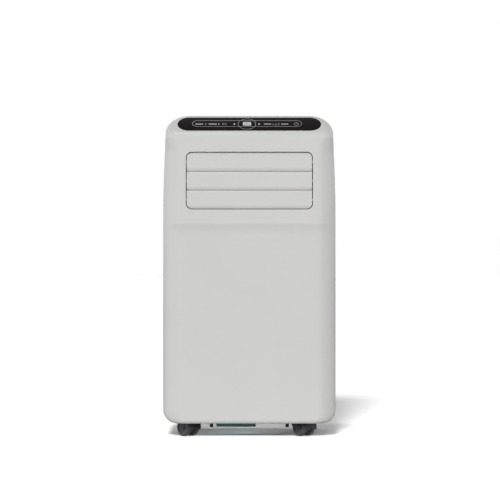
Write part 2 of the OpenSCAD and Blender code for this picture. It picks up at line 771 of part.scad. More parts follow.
module vane(k) {
    color("gainsboro") at_louvre() translate([vane_x(k), vane_in, 0]) {
        difference() {
            translate([-vane_t / 2, -vane_chord / 2, vane_z0]) cube([vane_t, vane_chord, vane_z1 - vane_z0]);
            translate([-vane_t, vane_link_in - vane_in - 6, vane_link_z - 5])
                cube([2 * vane_t, vane_chord, 10]);
        }
        translate([0, 0, vane_z0]) cylinder(r = link_pin_r + 0.8, h = vane_z1 - vane_z0);
        translate([0, 0, duct_z0 - duct_wall])
            cylinder(r = link_pin_r, h = duct_z1 - duct_z0 + 2 * duct_wall);
        translate([0, vane_link_in - vane_in, vane_link_z - 6]) cylinder(r = link_pin_r, h = 12);
    }
}
module vane_1() { vane(0); }
module vane_2() { vane(1); }
module vane_3() { vane(2); }
module vane_4() { vane(3); }
module vane_5() { vane(4); }
module vane_link() {
    color(dark) at_louvre() difference() {
        translate([vane_x(0) - 5, vane_link_in - 3, vane_link_z - 1.5])
            cube([vane_x(vane_count - 1) - vane_x(0) + 10, 6, 3]);
        for (k = [0:vane_count - 1]) translate([vane_x(k), vane_link_in, vane_link_z - 5])
            cylinder(r = link_pin_r + run, h = 10);
    }
}

// ---- air movers ----
module volute(r0, r1, h, g) {
    polygon([for (t = [0:10:350]) let(r = r0 + g + (r1 - r0) * t / 360) [r * cos(t), r * sin(t)]]);
    translate([r1 - outlet_w - g, 0]) square([outlet_w + 2 * g, h]);
}
module scroll(r0, r1, h, y0, y1, inlet_r, foot, foot_x) {
    difference() {
        union() {
            upright(y0, y1) volute(r0, r1, h, scroll_wall);
            for (x = [-foot_x, foot_x]) box(x - foot_hw, x + foot_hw, y0 + 8, y0 + foot_len, -foot, 0);
        }
        upright(y0 + scroll_wall, y1 - scroll_wall) volute(r0, r1, h + 1, 0);
        rod_y(inlet_r, y1 - 9, y1 + 1);
        rod_y(shaft_r + 2, y0 - 1, y0 + 9);
    }
}
module fan_wheel(r, y0) {
    ring_w = 11;
    color("whitesmoke") {
        rod_y(shaft_r, y0 - 26, y0 + 20);
        rod_y(shaft_r + 5, y0, y0 + 22);
        rod_y(r, y0, y0 + wheel_plate);
        upright(y0 + wheel_len - wheel_plate, y0 + wheel_len) difference() {
            circle(r);
            circle(r - ring_w);
        }
        upright(y0 + 2, y0 + wheel_len - 2) for (k = [1:wheel_blades]) rotate(360 * k / wheel_blades)
            translate([r - ring_w + 0.6, 0]) rotate(24) square([ring_w, 1.4]);
    }
}
module motor(r, y1) {
    color("silver") difference() {
        union() {
            rod_y(r, y1 - motor_len, y1 - 6);
            rod_y(r - 8, y1 - motor_len - 5, y1 - 5);
            for (a = [0:90:270]) rotate([0, a + 45, 0]) box(0, r + 7, y1 - 10, y1, -5, 5);
        }
        rod_y(shaft_r + run, y1 - 34, y1 + 1);
        rod_y(shaft_r + 6, y1 - 6, y1 + 1);
    }
}
module at_cool() {
    translate([cool_x, 0, cool_z]) children();
}
module at_hot() {
    translate([hot_x, 0, hot_z]) children();
}
module evaporator_wheel() {
    at_cool() fan_wheel(cool_wheel_r, cool_y0 + scroll_wall + 2);
}
module evaporator_motor() {
    at_cool() motor(cool_motor_r, cool_y0);
}
module evaporator_scroll() {
    h = max(cool_r1 + 4, plenum_z0 + 2 * scroll_wall - cool_z);
    color("lightgray") {
        at_cool() scroll(cool_r0, cool_r1, h, cool_y0, cool_y1, cool_wheel_r - cool_lip, cool_z - deck_z,
            cool_foot_x);
        difference() {
            box(-plenum_hw, plenum_hw, cool_y0, cool_y1, plenum_z0, plenum_z1);
            box(scroll_wall - plenum_hw, plenum_hw - scroll_wall, cool_y0 - 1, cool_y1 - scroll_wall,
                plenum_z0 + scroll_wall, plenum_z1 - scroll_wall);
            at_cool() upright(cool_y0 + scroll_wall, cool_y1 - scroll_wall) volute(cool_r0, cool_r1, h, 0);
        }
    }
}
module condenser_wheel() {
    at_hot() fan_wheel(hot_wheel_r, hot_y0 + scroll_wall + 3);
}
module condenser_motor() {
    at_hot() motor(hot_motor_r, hot_y0);
}
module condenser_scroll() {
    color("lightgray") at_hot()
        scroll(hot_r0, hot_r1, hot_top - hot_z, hot_y0, hot_y1, hot_wheel_r - hot_lip, hot_z - floor_z,
            hot_foot_x);
}
module exhaust_duct() {
    w = scroll_wall;
    y1 = deck_y1 + seat;
    z0 = exhaust_z - exhaust_r - duct_margin;
    z1 = exhaust_z + exhaust_r + duct_margin;
    color("lightgray") difference() {
        union() {
            box(-box_hw, box_hw, hot_y0, y1 + 1, hot_top, box_top);
            box(-box_hw, box_hw, y1, port_y0, z0, z1);
        }
        box(w - box_hw, box_hw - w, hot_y0 + w, y1 + w + 1, hot_top + w, box_top - w);
        box(w - box_hw, box_hw - w, y1 + w, port_y0 - w, z0 + w, z1 - w);
        box(hot_x + hot_r1 - outlet_w, hot_x + hot_r1, hot_y0 + w, hot_y1 - w, hot_top - 1, hot_top + w + 1);
        translate([0, 0, exhaust_z]) rod_y(exhaust_r + 1, y1 + w, port_y0 + 1);
    }
}
module exhaust_collar() {
    color(shell_colour) translate([0, 0, exhaust_z]) difference() {
        union() {
            rod_y(exhaust_r + port_wall, port_y0, port_face_y);
            rod_y(exhaust_r + port_wall + port_flange, rear_y - wall - seat - port_flange_t,
                rear_y - wall - seat);
        }
        rod_y(exhaust_r, port_y0 - 1, rear_y);
    }
}

// ---- heat exchangers and drain deck ----
// a finned block with an end sheet at each end and return bends between its tubes
module coil(w, h, x0, y0, z0, left_foot, right_foot) {
    pitch = tube_pitch;
    tubes = floor(h / pitch);
    color("lightsteelblue") translate([x0, y0, z0]) {
        cube([w, coil_d, h]);
        translate([-sheet, 0, -left_foot]) cube([sheet, coil_d, h + left_foot]);
        translate([w, 0, -right_foot]) cube([sheet, coil_d, h + right_foot]);
        for (k = [0:tubes - 2]) let(left = k % 2 == 0)
            translate([left ? -sheet : w + sheet, coil_d / 2, pitch * (k + 1)])
            rotate([90, left ? -90 : 90, 0]) rotate_extrude(angle = 180)
            translate([pitch / 2, 0]) circle(tube_r);
    }
}
module evaporator_coil() {
    coil(cool_coil_w, cool_coil_h, -cool_coil_w / 2, cool_coil_y0, deck_z, 0, 0);
}
module condenser_coil() {
    coil(hot_coil_w, hot_coil_h, hot_coil_x0, hot_coil_y0, hot_coil_z0, hot_coil_z0 - flange_z,
        hot_coil_z0 - floor_z);
}
module drain_deck() {
    w = body_w - 2 * wall - 2 * seat;
    y0 = front_y + wall + seat;
    r = inner_corner_r;
    trough_hw = cool_coil_w / 2 + trough_side;
    t0 = cool_coil_y0 + trough_end;
    t1 = cool_coil_y0 + coil_d - trough_end;
    e = deck_wall;
    bottom = box_top + seat;
    color("whitesmoke") difference() {
        union() {
            slab(w, y0, deck_y1, r, deck_z - deck_t - deck_rim, deck_z);
            box(-trough_hw - e, trough_hw + e, t0 - e, t1 + e, bottom, deck_z);
            for (x = [-1, 1], y = [-1, 1]) translate([x * leg_x, y * leg_y, flange_z])
                cylinder(r = leg_r, h = deck_z - flange_z);
            for (x = [-1, 1]) box(x * screw_x - screw_post, x * screw_x + screw_post, deck_y1 - 1,
                rear_y - wall - seat, upper_drain_z - screw_post - 1, upper_drain_z + screw_post + 1);
            translate([drain_x, 0, upper_drain_z]) spout(deck_y1 - 1, plug_y);
        }
        difference() {
            slab(w - 2 * e, y0 + e, deck_y1 - e, r - e, bottom - 1, deck_z - deck_t);
            box(-trough_hw - e, trough_hw + e, t0 - e, t1 + e, bottom - 1, deck_z);
            for (x = [-1, 1], y = [-1, 1]) translate([x * leg_x, y * leg_y, flange_z])
                cylinder(r = leg_r, h = deck_z - flange_z);
        }
        box(-trough_hw, trough_hw, t0, t1, bottom + e, deck_z + 1);
        translate([drain_x, 0, upper_drain_z]) rod_y(drain_r, t1 - 1, rear_y);
        for (x = [-1, 1]) translate([x * screw_x, 0, upper_drain_z])
            rod_y(screw_r + 0.01, rear_y - screw_len - 2, rear_y);
        translate([suction_x, suction_y, 0]) cylinder(r = pipe_r + seat, h = body_top);
    }
}

// ---- refrigerant circuit ----
module compressor() {
    color(dark) translate([comp_x, comp_y, comp_z]) {
        difference() {
            linear_extrude(comp_plate) {
                circle(comp_r + comp_rim);
                for (a = [0:120:240]) rotate(a + 60) translate([foot_orbit, 0]) circle(comp_r / 4);
            }
            for (a = [0:120:240]) rotate(a + 60) translate([foot_orbit, 0, -1])
                cylinder(r = foot_pin_r + seat, h = comp_plate + 2);
        }
        translate([0, 0, comp_plate]) rotate_extrude() polygon([[0, 0], [comp_r - 8, 0], [comp_r, 8],
            [comp_r, comp_h - 22], [comp_r - 12, comp_h - 9], [comp_r - 38, comp_h - comp_plate],
            [0, comp_h - comp_plate]]);
        translate([-26, -16, comp_h - 14]) cube([34, 28, 26]);
        translate([12, 25, comp_h - 12]) cylinder(r = pipe_r + 2, h = 16);
    }
}
module compressor_feet() {
    color([0.1, 0.1, 0.1]) for (a = [0:120:240])
        translate([comp_x, comp_y, 0]) rotate(a + 60) translate([foot_orbit, 0, 0]) difference() {
            union() {
                translate([0, 0, floor_z]) cylinder(r = grommet_r, h = comp_z - floor_z);
                translate([0, 0, comp_z + comp_plate]) cylinder(r = grommet_r - 2, h = comp_plate);
            }
            cylinder(r = foot_pin_r + seat, h = comp_z + 9);
        }
}
module accumulator() {
    dx = comp_x - accu_x;
    dy = comp_y - accu_y;
    reach = sqrt(dx * dx + dy * dy) - comp_r - seat;
    color(dark) translate([accu_x, accu_y, accu_z]) {
        rotate_extrude() polygon([[0, 0], [accu_r - 8, 0], [accu_r, 8], [accu_r, accu_h - 8],
            [accu_r - 8, accu_h], [0, accu_h]]);
        cylinder(r = pipe_r + 2, h = accu_h + 5);
        for (z = [14, accu_h - 30]) rotate([0, 0, atan2(dy, dx)]) translate([0, 0, z])
            rod_x(pipe_r, accu_r - 2, reach);
    }
}
// a pipe along straight stretches, with a swaged union at each turn
module pipe(points) {
    for (k = [0:len(points) - 2]) let(a = points[k], d = points[k + 1] - a, l = norm(d))
        translate(a) rotate([0, acos(d[2] / l), atan2(d[1], d[0])]) cylinder(r = pipe_r, h = l);
    for (k = [1:len(points) - 2]) translate(points[k]) sphere(pipe_r + 0.8);
}
module refrigerant_pipes() {
    top = comp_z + comp_h + 4;
    hot_end = hot_coil_x0 + hot_coil_w + sheet;
    hot_y = hot_coil_y0 + coil_d / 2;
    hot_in = hot_coil_z0 + tube_pitch * (floor(hot_coil_h / tube_pitch) - 0.5);
    cool_end = cool_coil_w / 2 + sheet;
    cool_in = deck_z + tube_pitch / 2;
    rise = box_top - 20;
    color("chocolate") {
        pipe([[comp_x + 12, comp_y + 25, top], [comp_x + 12, comp_y + 25, top + 18],
            [comp_x + 12, hot_y, top + 18], [comp_x + 12, hot_y, hot_in], [hot_end, hot_y, hot_in]]);
        pipe([[accu_x, accu_y, accu_z + accu_h + 5], [accu_x, accu_y, rise], [suction_x, accu_y, rise],
            [suction_x, suction_y, rise], [suction_x, suction_y, cool_in], [cool_end, suction_y, cool_in]]);
    }
}

// ---- condensate slinger and float ----
module slinger_wheel() {
    color("whitesmoke") translate([sling_x, 0, sling_z]) {
        rod_y(sling_r - 6, sling_y, sling_y + sling_disc);
        rod_y(sling_boss_r, sling_y, sling_y + sling_w);
        rod_y(rod_r, sling_y - sling_shaft, sling_y + sling_w);
        for (a = [0:45:315]) rotate([0, a, 0])
            box(sling_boss_r - 2, sling_r, sling_y, sling_y + sling_w, -1, 1);
    }
}
module slinger_motor() {
    color("silver") difference() {
        union() {
            translate([sling_x, 0, sling_z]) rod_y(sling_motor_r, sling_y - 38, sling_y - 3);
            box(sling_x - 9, sling_x + 9, sling_y - 34, sling_y - 8, floor_z, sling_z);
        }
        translate([sling_x, 0, sling_z]) rod_y(rod_r + run, sling_y - sling_shaft - 2, sling_y);
    }
}
module float() {
    color("orange") translate([float_x, float_y, floor_z + seat]) difference() {
        cylinder(r = float_r, h = float_h);
        translate([0, 0, -1]) cylinder(r = rod_r + run, h = float_h + 2);
    }
}
module float_switch() {
    color(dark) {
        translate([float_x, float_y, floor_z]) cylinder(r = rod_r, h = 38);
        box(float_x - 4, float_x + 20, float_y - 4, float_y + 4, floor_z + 37, floor_z + 43);
        box(float_x + 13, float_x + 19, float_y - 4, float_y + 4, floor_z, floor_z + 38);
    }
}

// ---- electrics ----
module control_box() {
    color("silver") difference() {
        box(box_x0, box_x1, box_y0, box_y1, deck_z, deck_z + box_h);
        box(box_x0 + sheet, box_x1 - sheet, box_y0 + sheet, box_y1 - sheet, deck_z + sheet,
            deck_z + box_h + 1);
        translate([0, 0, deck_z + box_h / 2]) rod_y(8, box_y1 - 9, box_y1 + 1);
    }
}
module main_board() {
    z0 = deck_z + sheet;
    color("darkgreen") {
        box(box_x0 + board_in, box_x1 - board_in, box_y0 + board_in, box_y1 - board_in, z0 + standoff,
            z0 + standoff + board_t);
        for (x = [box_x0 + post_in, box_x1 - post_in], y = [box_y0 + post_in, box_y1 - post_in])
            translate([x, y, z0]) cylinder(r = 3, h = standoff + 0.5);
        translate([0, box_y1 - 28, z0 + 24]) rod_x(17.5, box_x0 + 14, box_x0 + 78);
        box(box_x0 + 18, box_x0 + 74, box_y1 - 34, box_y1 - 22, z0 + 6, z0 + 12);
        for (k = [0:3]) let(x = box_x0 + 14 + 20 * k)
            box(x, x + 14, box_y0 + post_in, box_y0 + post_in + 14, z0 + 6, z0 + 20);
    }
}

// ---- intake grilles and filters ----
module grille(w, h, zc) {
    iw = w - 2 * grille_gap;
    ih = h - 2 * grille_gap;
    slats = floor((ih - 2 * grille_band) / slat_pitch);
    first = -(slats - 1) / 2 * slat_pitch;
    slat_end = grille_band + 0.5;
    rib = grille_rib;
    color(shell_colour) translate([0, 0, zc]) {
        upright(grille_y0, grille_y1) difference() {
            rounded(iw, -ih / 2, ih / 2, grille_r - grille_gap);
            rounded(iw - 2 * grille_band, grille_band - ih / 2, ih / 2 - grille_band, grille_r - 4);
        }
        for (k = [0:slats - 1]) translate([slat_end - iw / 2, grille_y0 + 0.6, first + k * slat_pitch])
            rotate([90, 0, 90]) linear_extrude(iw - 2 * slat_end)
            polygon([[0, slat_t / 2], [grille_t - 1.2, -slat_t / 2 - 1], [grille_t - 1.2, slat_t / 2 - 1],
                [0, slat_t / 2 + slat_t]]);
        for (x = [-1:1]) box(x * iw / 4 - rib, x * iw / 4 + rib, grille_y0, grille_y0 + 2,
            grille_band - ih / 2, ih / 2 - grille_band);
    }
}
module filter(w, h, zc) {
    iw = w - 2 * grille_lip - 2;
    ih = h - 2 * grille_lip - 2;
    y0 = grille_y0 - filter_d;
    in = filter_band - 1;
    color("slategray") translate([0, 0, zc]) {
        upright(y0, grille_y0) difference() {
            rounded(iw, -ih / 2, ih / 2, grille_r - 4);
            rounded(iw - 2 * filter_band, filter_band - ih / 2, ih / 2 - filter_band, grille_r - 7);
        }
        upright(y0 + 1, y0 + 3) for (x = [filter_pitch / 2:filter_pitch:iw / 2 - 2 * in], s = [-1, 1])
            translate([s * x - filter_rib, in - ih / 2]) square([2 * filter_rib, ih - 2 * in]);
        upright(y0 + 1, y0 + 3) for (z = [filter_pitch / 2:filter_pitch:ih / 2 - 2 * in], s = [-1, 1])
            translate([in - iw / 2, s * z - filter_rib]) square([iw - 2 * in, 2 * filter_rib]);
        upright(y0 + 1.6, y0 + 2.2) translate([in - iw / 2, in - ih / 2]) square([iw - 2 * in, ih - 2 * in]);
    }
}
module upper_grille() { grille(upper_grille_w, upper_grille_h, upper_grille_z); }
module lower_grille() { grille(lower_grille_w, lower_grille_h, lower_grille_z); }
module upper_filter() { filter(upper_grille_w, upper_grille_h, upper_grille_z); }
module lower_filter() { filter(lower_grille_w, lower_grille_h, lower_grille_z); }

// ---- drains and cord gland ----
module plug(z) {
    color(dark) translate([drain_x, 0, z]) {
        rod_y(drain_r - run, plug_y - 10, plug_y + 1);
        rod_y(plug_head_r, plug_y, plug_y + 4);
        box(-2, 2, plug_y + 3, rear_y - seat, -7, 7);
    }
}
module upper_plug() { plug(upper_drain_z); }
module lower_plug() { plug(lower_drain_z); }
module cord_gland() {
    color(dark) translate([gland_x, 0, gland_z]) difference() {
        union() {
            rod_y(gland_r, rear_y - 16, rear_y);
            rod_y(gland_r + 4, rear_y - wall - 3.5, rear_y - wall);
        }
        rod_y(cable_r, rear_y - 17, rear_y + 1);
    }
}

// ---- casters: 1 front left, 2 front right, 3 rear left, 4 rear right ----
function side(n) = n % 2 == 1 ? -1 : 1;
function end(n) = n < 3 ? -1 : 1;
module at_caster(n) {
    translate([side(n) * caster_x, end(n) * caster_y, 0]) rotate(caster_yaw) children();
}
module caster(n) {
    web = wheel_spacing - caster_wheel_w - 2 * seat;
    over = wheel_spacing + caster_wheel_w;
    color(dark) at_caster(n) {
        translate([0, 0, wheel_r + 18]) cylinder(r = stem_r, h = stem_top - wheel_r - 18 - seat);
        translate([0, 0, wheel_r + 20]) cylinder(r = 15, h = well_top - seat - wheel_r - 20);
        translate([0, caster_trail, wheel_r]) {
            rod_x(axle_r, -over / 2, over / 2);
            rod_x(wheel_r - 4, -web / 2, web / 2);
            box(-web / 2, web / 2, -caster_trail - 8, 0, 2, 22);
            translate([-over / 2 - seat, 0, 0]) rotate([90, 0, 90]) linear_extrude(over + 2 * seat)
                intersection() {
                    difference() {
                        circle(wheel_r + 3.4);
                        circle(wheel_r + 0.9);
                    }
                    polygon([[-wheel_r - 9, -4], [-wheel_r - 9, wheel_r + 9], [2, wheel_r + 9], [0, 0],
                        [-6, -4]]);
                }
        }
    }
}
module caster_1() { caster(1); }
module caster_2() { caster(2); }
module caster_3() { caster(3); }
module caster_4() { caster(4); }
// s is -1 for the left wheel of a pair and 1 for the right
module caster_wheel(n, s) {
    w = caster_wheel_w / 2;
    color([0.27, 0.27, 0.28]) at_caster(n) translate([s * wheel_spacing / 2, caster_trail, wheel_r])
        rotate([0, 90, 0]) rotate_extrude() difference() {
            polygon([[axle_r + run, -w], [wheel_r - 3, -w], [wheel_r - 0.8, 1.2 - w], [wheel_r, 3 - w],
                [wheel_r, w - 3], [wheel_r - 0.8, w - 1.2], [wheel_r - 3, w], [axle_r + run, w]]);
            for (t = [-1, 1]) polygon([[axle_r + 3, t * (w + 1)], [axle_r + 4, t * (w - 2)],
                [wheel_r - 6, t * (w - 2)], [wheel_r - 5, t * (w + 1)]]);
        }
}
module wheel_1a() { caster_wheel(1, -1); }
module wheel_1b() { caster_wheel(1, 1); }
module wheel_2a() { caster_wheel(2, -1); }
module wheel_2b() { caster_wheel(2, 1); }
module wheel_3a() { caster_wheel(3, -1); }
module wheel_3b() { caster_wheel(3, 1); }
module wheel_4a() { caster_wheel(4, -1); }
module wheel_4b() { caster_wheel(4, 1); }

front_cover();
rear_cover();
base_pan();
sump_tray();
control_panel();
display_board();
outlet_duct();
blade_1();
blade_2();
blade_3();
louvre_link();
louvre_motor();
vane_1();
vane_2();
vane_3();
vane_4();
vane_5();
vane_link();
evaporator_coil();
evaporator_wheel();
evaporator_scroll();
evaporator_motor();
drain_deck();
condenser_coil();
condenser_wheel();
condenser_scroll();
condenser_motor();
exhaust_duct();
exhaust_collar();
compressor();
accumulator();
compressor_feet();
refrigerant_pipes();
slinger_wheel();
slinger_motor();
float();
float_switch();
control_box();
main_board();
upper_grille();
upper_filter();
lower_grille();
lower_filter();
upper_plug();
lower_plug();
cord_gland();
base_bolts();
cover_screws();
caster_1();
caster_2();
caster_3();
caster_4();
wheel_1a();
wheel_1b();
wheel_2a();
wheel_2b();
wheel_3a();
wheel_3b();
wheel_4a();
wheel_4b();
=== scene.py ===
import bpy
import bmesh
import json
from math import cos, pi, radians, sin, sqrt, tan
from mathutils import Matrix, Vector


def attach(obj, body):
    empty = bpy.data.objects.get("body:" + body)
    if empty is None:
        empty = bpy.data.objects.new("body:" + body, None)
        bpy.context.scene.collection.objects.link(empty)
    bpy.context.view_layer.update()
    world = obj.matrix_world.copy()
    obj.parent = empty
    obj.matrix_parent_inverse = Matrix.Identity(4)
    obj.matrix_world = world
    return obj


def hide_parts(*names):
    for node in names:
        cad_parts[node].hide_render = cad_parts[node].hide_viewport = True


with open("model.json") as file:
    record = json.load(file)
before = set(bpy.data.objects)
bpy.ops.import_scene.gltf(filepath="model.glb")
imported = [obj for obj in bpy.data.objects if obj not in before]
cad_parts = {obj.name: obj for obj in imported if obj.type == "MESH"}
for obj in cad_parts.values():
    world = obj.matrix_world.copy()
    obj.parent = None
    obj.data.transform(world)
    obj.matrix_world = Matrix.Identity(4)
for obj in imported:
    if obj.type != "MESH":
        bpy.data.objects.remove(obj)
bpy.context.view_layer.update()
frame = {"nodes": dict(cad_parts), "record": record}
cadNodes = frame["nodes"]
bodies = frame["record"]["behaviour"]["bodies"]
bodyOfNode = {node: body for body, members in bodies.items() for node in members}
slotOfNode = {row["node"]: row["material_slot"] for row in frame["record"]["subparts"]}
scene = bpy.context.scene
print("frame loaded:", len(cadNodes), "nodes")


def linkObject(name, data):
    piece = bpy.data.objects.new(name, data)
    scene.collection.objects.link(piece)
    return piece


# camera, level with the cabinet's middle and far off, as in a catalogue view
cameraSetup = {"height": 0.373, "away": 6.56, "aside": 0.0013, "lens": 231.7, "tilt": 90,
               "farClip": 100}
cameraData = bpy.data.cameras.new("camera")
cameraData.lens = cameraSetup["lens"]
cameraData.clip_end = cameraSetup["farClip"]
camera = linkObject("camera", cameraData)
camera.location = (cameraSetup["aside"], -cameraSetup["away"], cameraSetup["height"])
camera.rotation_euler = (radians(cameraSetup["tilt"]), 0, 0)
scene.camera = camera
scene.view_settings.view_transform = "Standard"

# a place turns a drawing's u, v and t into x, y and z: t runs up, to the back or across
asDrawn = Matrix.Identity(4)
upright = Matrix(((1, 0, 0, 0), (0, 0, 1, 0), (0, 1, 0, 0), (0, 0, 0, 1)))
across = Matrix(((0, 0, 1, 0), (1, 0, 0, 0), (0, 1, 0, 0), (0, 0, 0, 1)))
smoothing = {"usual": 30, "soft": 40, "blade": 24}


# making, joining and finishing pieces
def fromBmesh(name, bm, outward=True):
    if outward:
        bmesh.ops.recalc_face_normals(bm, faces=bm.faces)
    mesh = bpy.data.meshes.new(name)
    bm.to_mesh(mesh)
    bm.free()
    return linkObject(name, mesh)


def bake(piece):
    # the evaluated shape becomes the piece's own mesh
    bpy.context.view_layer.update()
    graph = bpy.context.evaluated_depsgraph_get()
    mesh = bpy.data.meshes.new_from_object(piece.evaluated_get(graph))
    piece.modifiers.clear()
    old = piece.data
    piece.data = mesh
    if old.users == 0:
        bpy.data.meshes.remove(old)
    return piece


def carve(piece, cutter, operation="DIFFERENCE"):
    step = piece.modifiers.new("carve", "BOOLEAN")
    step.object = cutter
    step.operation = operation
    step.solver = "EXACT"
    bake(piece)
    bpy.data.objects.remove(cutter)
    return piece


def joined(name, parts, outward=False):
    bm = bmesh.new()
    for part in parts:
        bm.from_mesh(part.data)
        bpy.data.objects.remove(part)
    return fromBmesh(name, bm, outward)


def settle(piece, like, material=None, angle=smoothing["usual"], replaced=True):
    # smooths a piece up to the angle, and gives it the body of a CAD node and the finish of that
    # node's slot
    if angle:
        piece.data.shade_smooth()
        piece.data.set_sharp_from_angle(angle=radians(angle))
    piece.data.materials.clear()
    piece.data.materials.append(material or finishOf[slotOfNode[like]])
    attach(piece, bodyOfNode[like])
    if replaced:
        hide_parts(like)


# outlines, and the solids that are drawn from them
def roundedOutline(width, height, radius, steps=10, centre=(0, 0)):
    points = []
    for quarter in range(4):
        cx = centre[0] + (width / 2 - radius) * (1 if quarter in (0, 3) else -1)
        cy = centre[1] + (height / 2 - radius) * (1 if quarter < 2 else -1)
        for k in range(steps + 1):
            turn = radians(90 * quarter + 90 * k / steps)
            points.append((cx + radius * cos(turn), cy + radius * sin(turn)))
    return points


def stadium(length, height, steps=16, centre=(0, 0), flat=0.00001):
    return roundedOutline(length, height, height / 2 - flat, steps, centre)


def circleOutline(radius, steps, centre):
    turns = [2 * pi * k / steps for k in range(steps)]
    return [(centre[0] + radius * cos(a), centre[1] + radius * sin(a)) for a in turns]


def corners(x0, x1, y0, y1):
    return [(x0, y0), (x1, y0), (x1, y1), (x0, y1)]


def tube(name, outlines, place=asDrawn, closedLoop=False):
    # skins a row of outlines, each a list of (u, v, t), all of one length
    bm = bmesh.new()
    rows = [[bm.verts.new(place @ Vector(p)) for p in outline] for outline in outlines]
    count = len(rows[0])
    pairs = list(zip(rows, rows[1:])) + ([(rows[-1], rows[0])] if closedLoop else [])
    for low, high in pairs:
        for k in range(count):
            n = (k + 1) % count
            bm.faces.new((low[k], low[n], high[n], high[k]))
    if not closedLoop:
        bm.faces.new(list(reversed(rows[0])))
        bm.faces.new(rows[-1])
    return fromBmesh(name, bm)


def insetRow(outline, t, inset=0.0):
    # the outline at t, moved inwards by inset, or outwards where that is negative
    count = len(outline)
    cx, cy = (sum(p[axis] for p in outline) / count for axis in (0, 1))
    row = []
    for k, (u, v) in enumerate(outline):
        before, after = outline[k - 1], outline[(k + 1) % count]
        along = Vector((after[0] - before[0], after[1] - before[1])).normalized()
        inward = Vector((-along.y, along.x))
        if inward.dot(Vector((cx - u, cy - v))) < 0:
            inward = -inward
        row.append((u + inward.x * inset, v + inward.y * inset, t))
    return row


def rimLevels(t, edge, steps=3):
    # the places and insets that round a rim at t by edge
    if edge == 0:
        return [(t, 0.0)]
    turns = [pi / 2 * k / steps for k in range(steps + 1)]
    return [(t - edge + edge * sin(a), edge - edge * cos(a)) for a in turns]


def prism(name, outline, t0, t1, place=asDrawn, edge=0.0, steps=3):
    # a plate between t0 and t1 along the place's third axis, its far rim rounded by edge
    rows = [insetRow(outline, t0)]
    rows += [insetRow(outline, t, inset) for t, inset in rimLevels(t1, edge, steps)]
    return tube(name, rows, place)


def collarRing(name, outer, inner, t0, t1, place, edge=0.0):
    # a frame between two outlines of equal count, its far rims rounded by edge
    rim = rimLevels(t1, edge)
    rows = [insetRow(outer, t0)] + [insetRow(outer, t, inset) for t, inset in rim]
    rows += [insetRow(inner, t, -inset) for t, inset in reversed(rim)] + [insetRow(inner, t0)]
    return tube(name, rows, place, closedLoop=True)


def brick(name, x0, x1, y0, y1, z0, z1, place=asDrawn):
    return prism(name, corners(x0, x1, y0, y1), z0, z1, place)


def disc(name, centre, radius, y0, y1, edge, steps):
    return prism(name, circleOutline(radius, steps, centre), y0, y1, upright, edge)


# the cabinet's form, in metres
cabinet = {
    "width": 0.345, "depth": 0.320, "top": 0.6425, "underside": 0.027, "wall": 0.003,
    "cornerRadius": 0.038, "topCornerRadius": 0.018, "cornerSteps": 14, "bottomRadius": 0.0265,
    "bottomCorner": 0.6, "frontBottomRadius": 0.008, "rearBottomRadius": 0.010,
    "topRoundWidth": 0.045, "topRoundHeight": 0.037, "rearRoundDepth": 0.030,
    "sideTaper": 0.0049, "taperRise": 0.028, "taperPower": 1.6,
    "crestHeight": 0.425, "crestStep": 0.003, "crestEase": 0.022, "crestFade": (0.142, 0.168),
    "faceLean": 4.0, "panelTilt": 38.5, "lipDrop": 0.0475,
    "panelFootDrop": 0.0305, "panelHeadDrop": 0.0045, "narrowDrop": 0.0825, "narrowRun": 0.060,
    "topLipRun": 0.013, "seam": 0.024, "seamGap": 0.0004, "hollowRim": 0.0001,
    "rowsAtCrest": (-0.025, 0.0006, 0.0015), "footTurn": 9,
    "rows": {"crest": 12, "taper": 10, "narrow": 8, "lip": 14, "panel": 10, "round": 8},
}
top = cabinet["top"]
halfWide = cabinet["width"] / 2
frontCrest = -cabinet["depth"] / 2
frontLow = frontCrest + cabinet["crestStep"]
rearFace = cabinet["depth"] / 2
crestZ = cabinet["crestHeight"]
taperZ = crestZ + cabinet["taperRise"]
joinZ = top - cabinet["topRoundHeight"]
flatTop = halfWide - cabinet["sideTaper"] - cabinet["topRoundWidth"]
lipZ = top - cabinet["lipDrop"]
panelFootZ = top - cabinet["panelFootDrop"]
panelHeadZ = top - cabinet["panelHeadDrop"]
narrowZ = top - cabinet["narrowDrop"]
faceSlope = tan(radians(cabinet["faceLean"]))
panelSlope = 1 / tan(radians(cabinet["panelTilt"]))
lipY = frontCrest + (lipZ - crestZ) * faceSlope
panelFootY = lipY + (panelFootZ - lipZ) * (faceSlope + panelSlope) / 2
panelHeadY = panelFootY + (panelHeadZ - panelFootZ) * panelSlope


def arcOut(t):
    return sqrt(max(0.0, 1 - t * t))


def arcIn(t):
    return 1 - arcOut(t)


def ease(t):
    u = min(1.0, max(0.0, t))
    return u * u * (3 - 2 * u)


# z is a height, and g is how far inside the outer skin the line runs
def bottomDrop(z, g, r):
    edge = cabinet["underside"] + r
    return (r - g) * arcIn(min(1.0, (edge - z) / (r - g))) if z < edge else 0.0


def topRound(z, g):
    return arcOut(min(1.0, (z - joinZ) / (cabinet["topRoundHeight"] - g)))


def halfWidth(z, g):
    if z > joinZ:
        return flatTop + (cabinet["topRoundWidth"] - g) * topRound(z, g)
    if z > taperZ:
        share = ((z - taperZ) / (joinZ - taperZ)) ** cabinet["taperPower"]
        return halfWide - g - cabinet["sideTaper"] * share
    return halfWide - g - bottomDrop(z, g, cabinet["bottomRadius"])


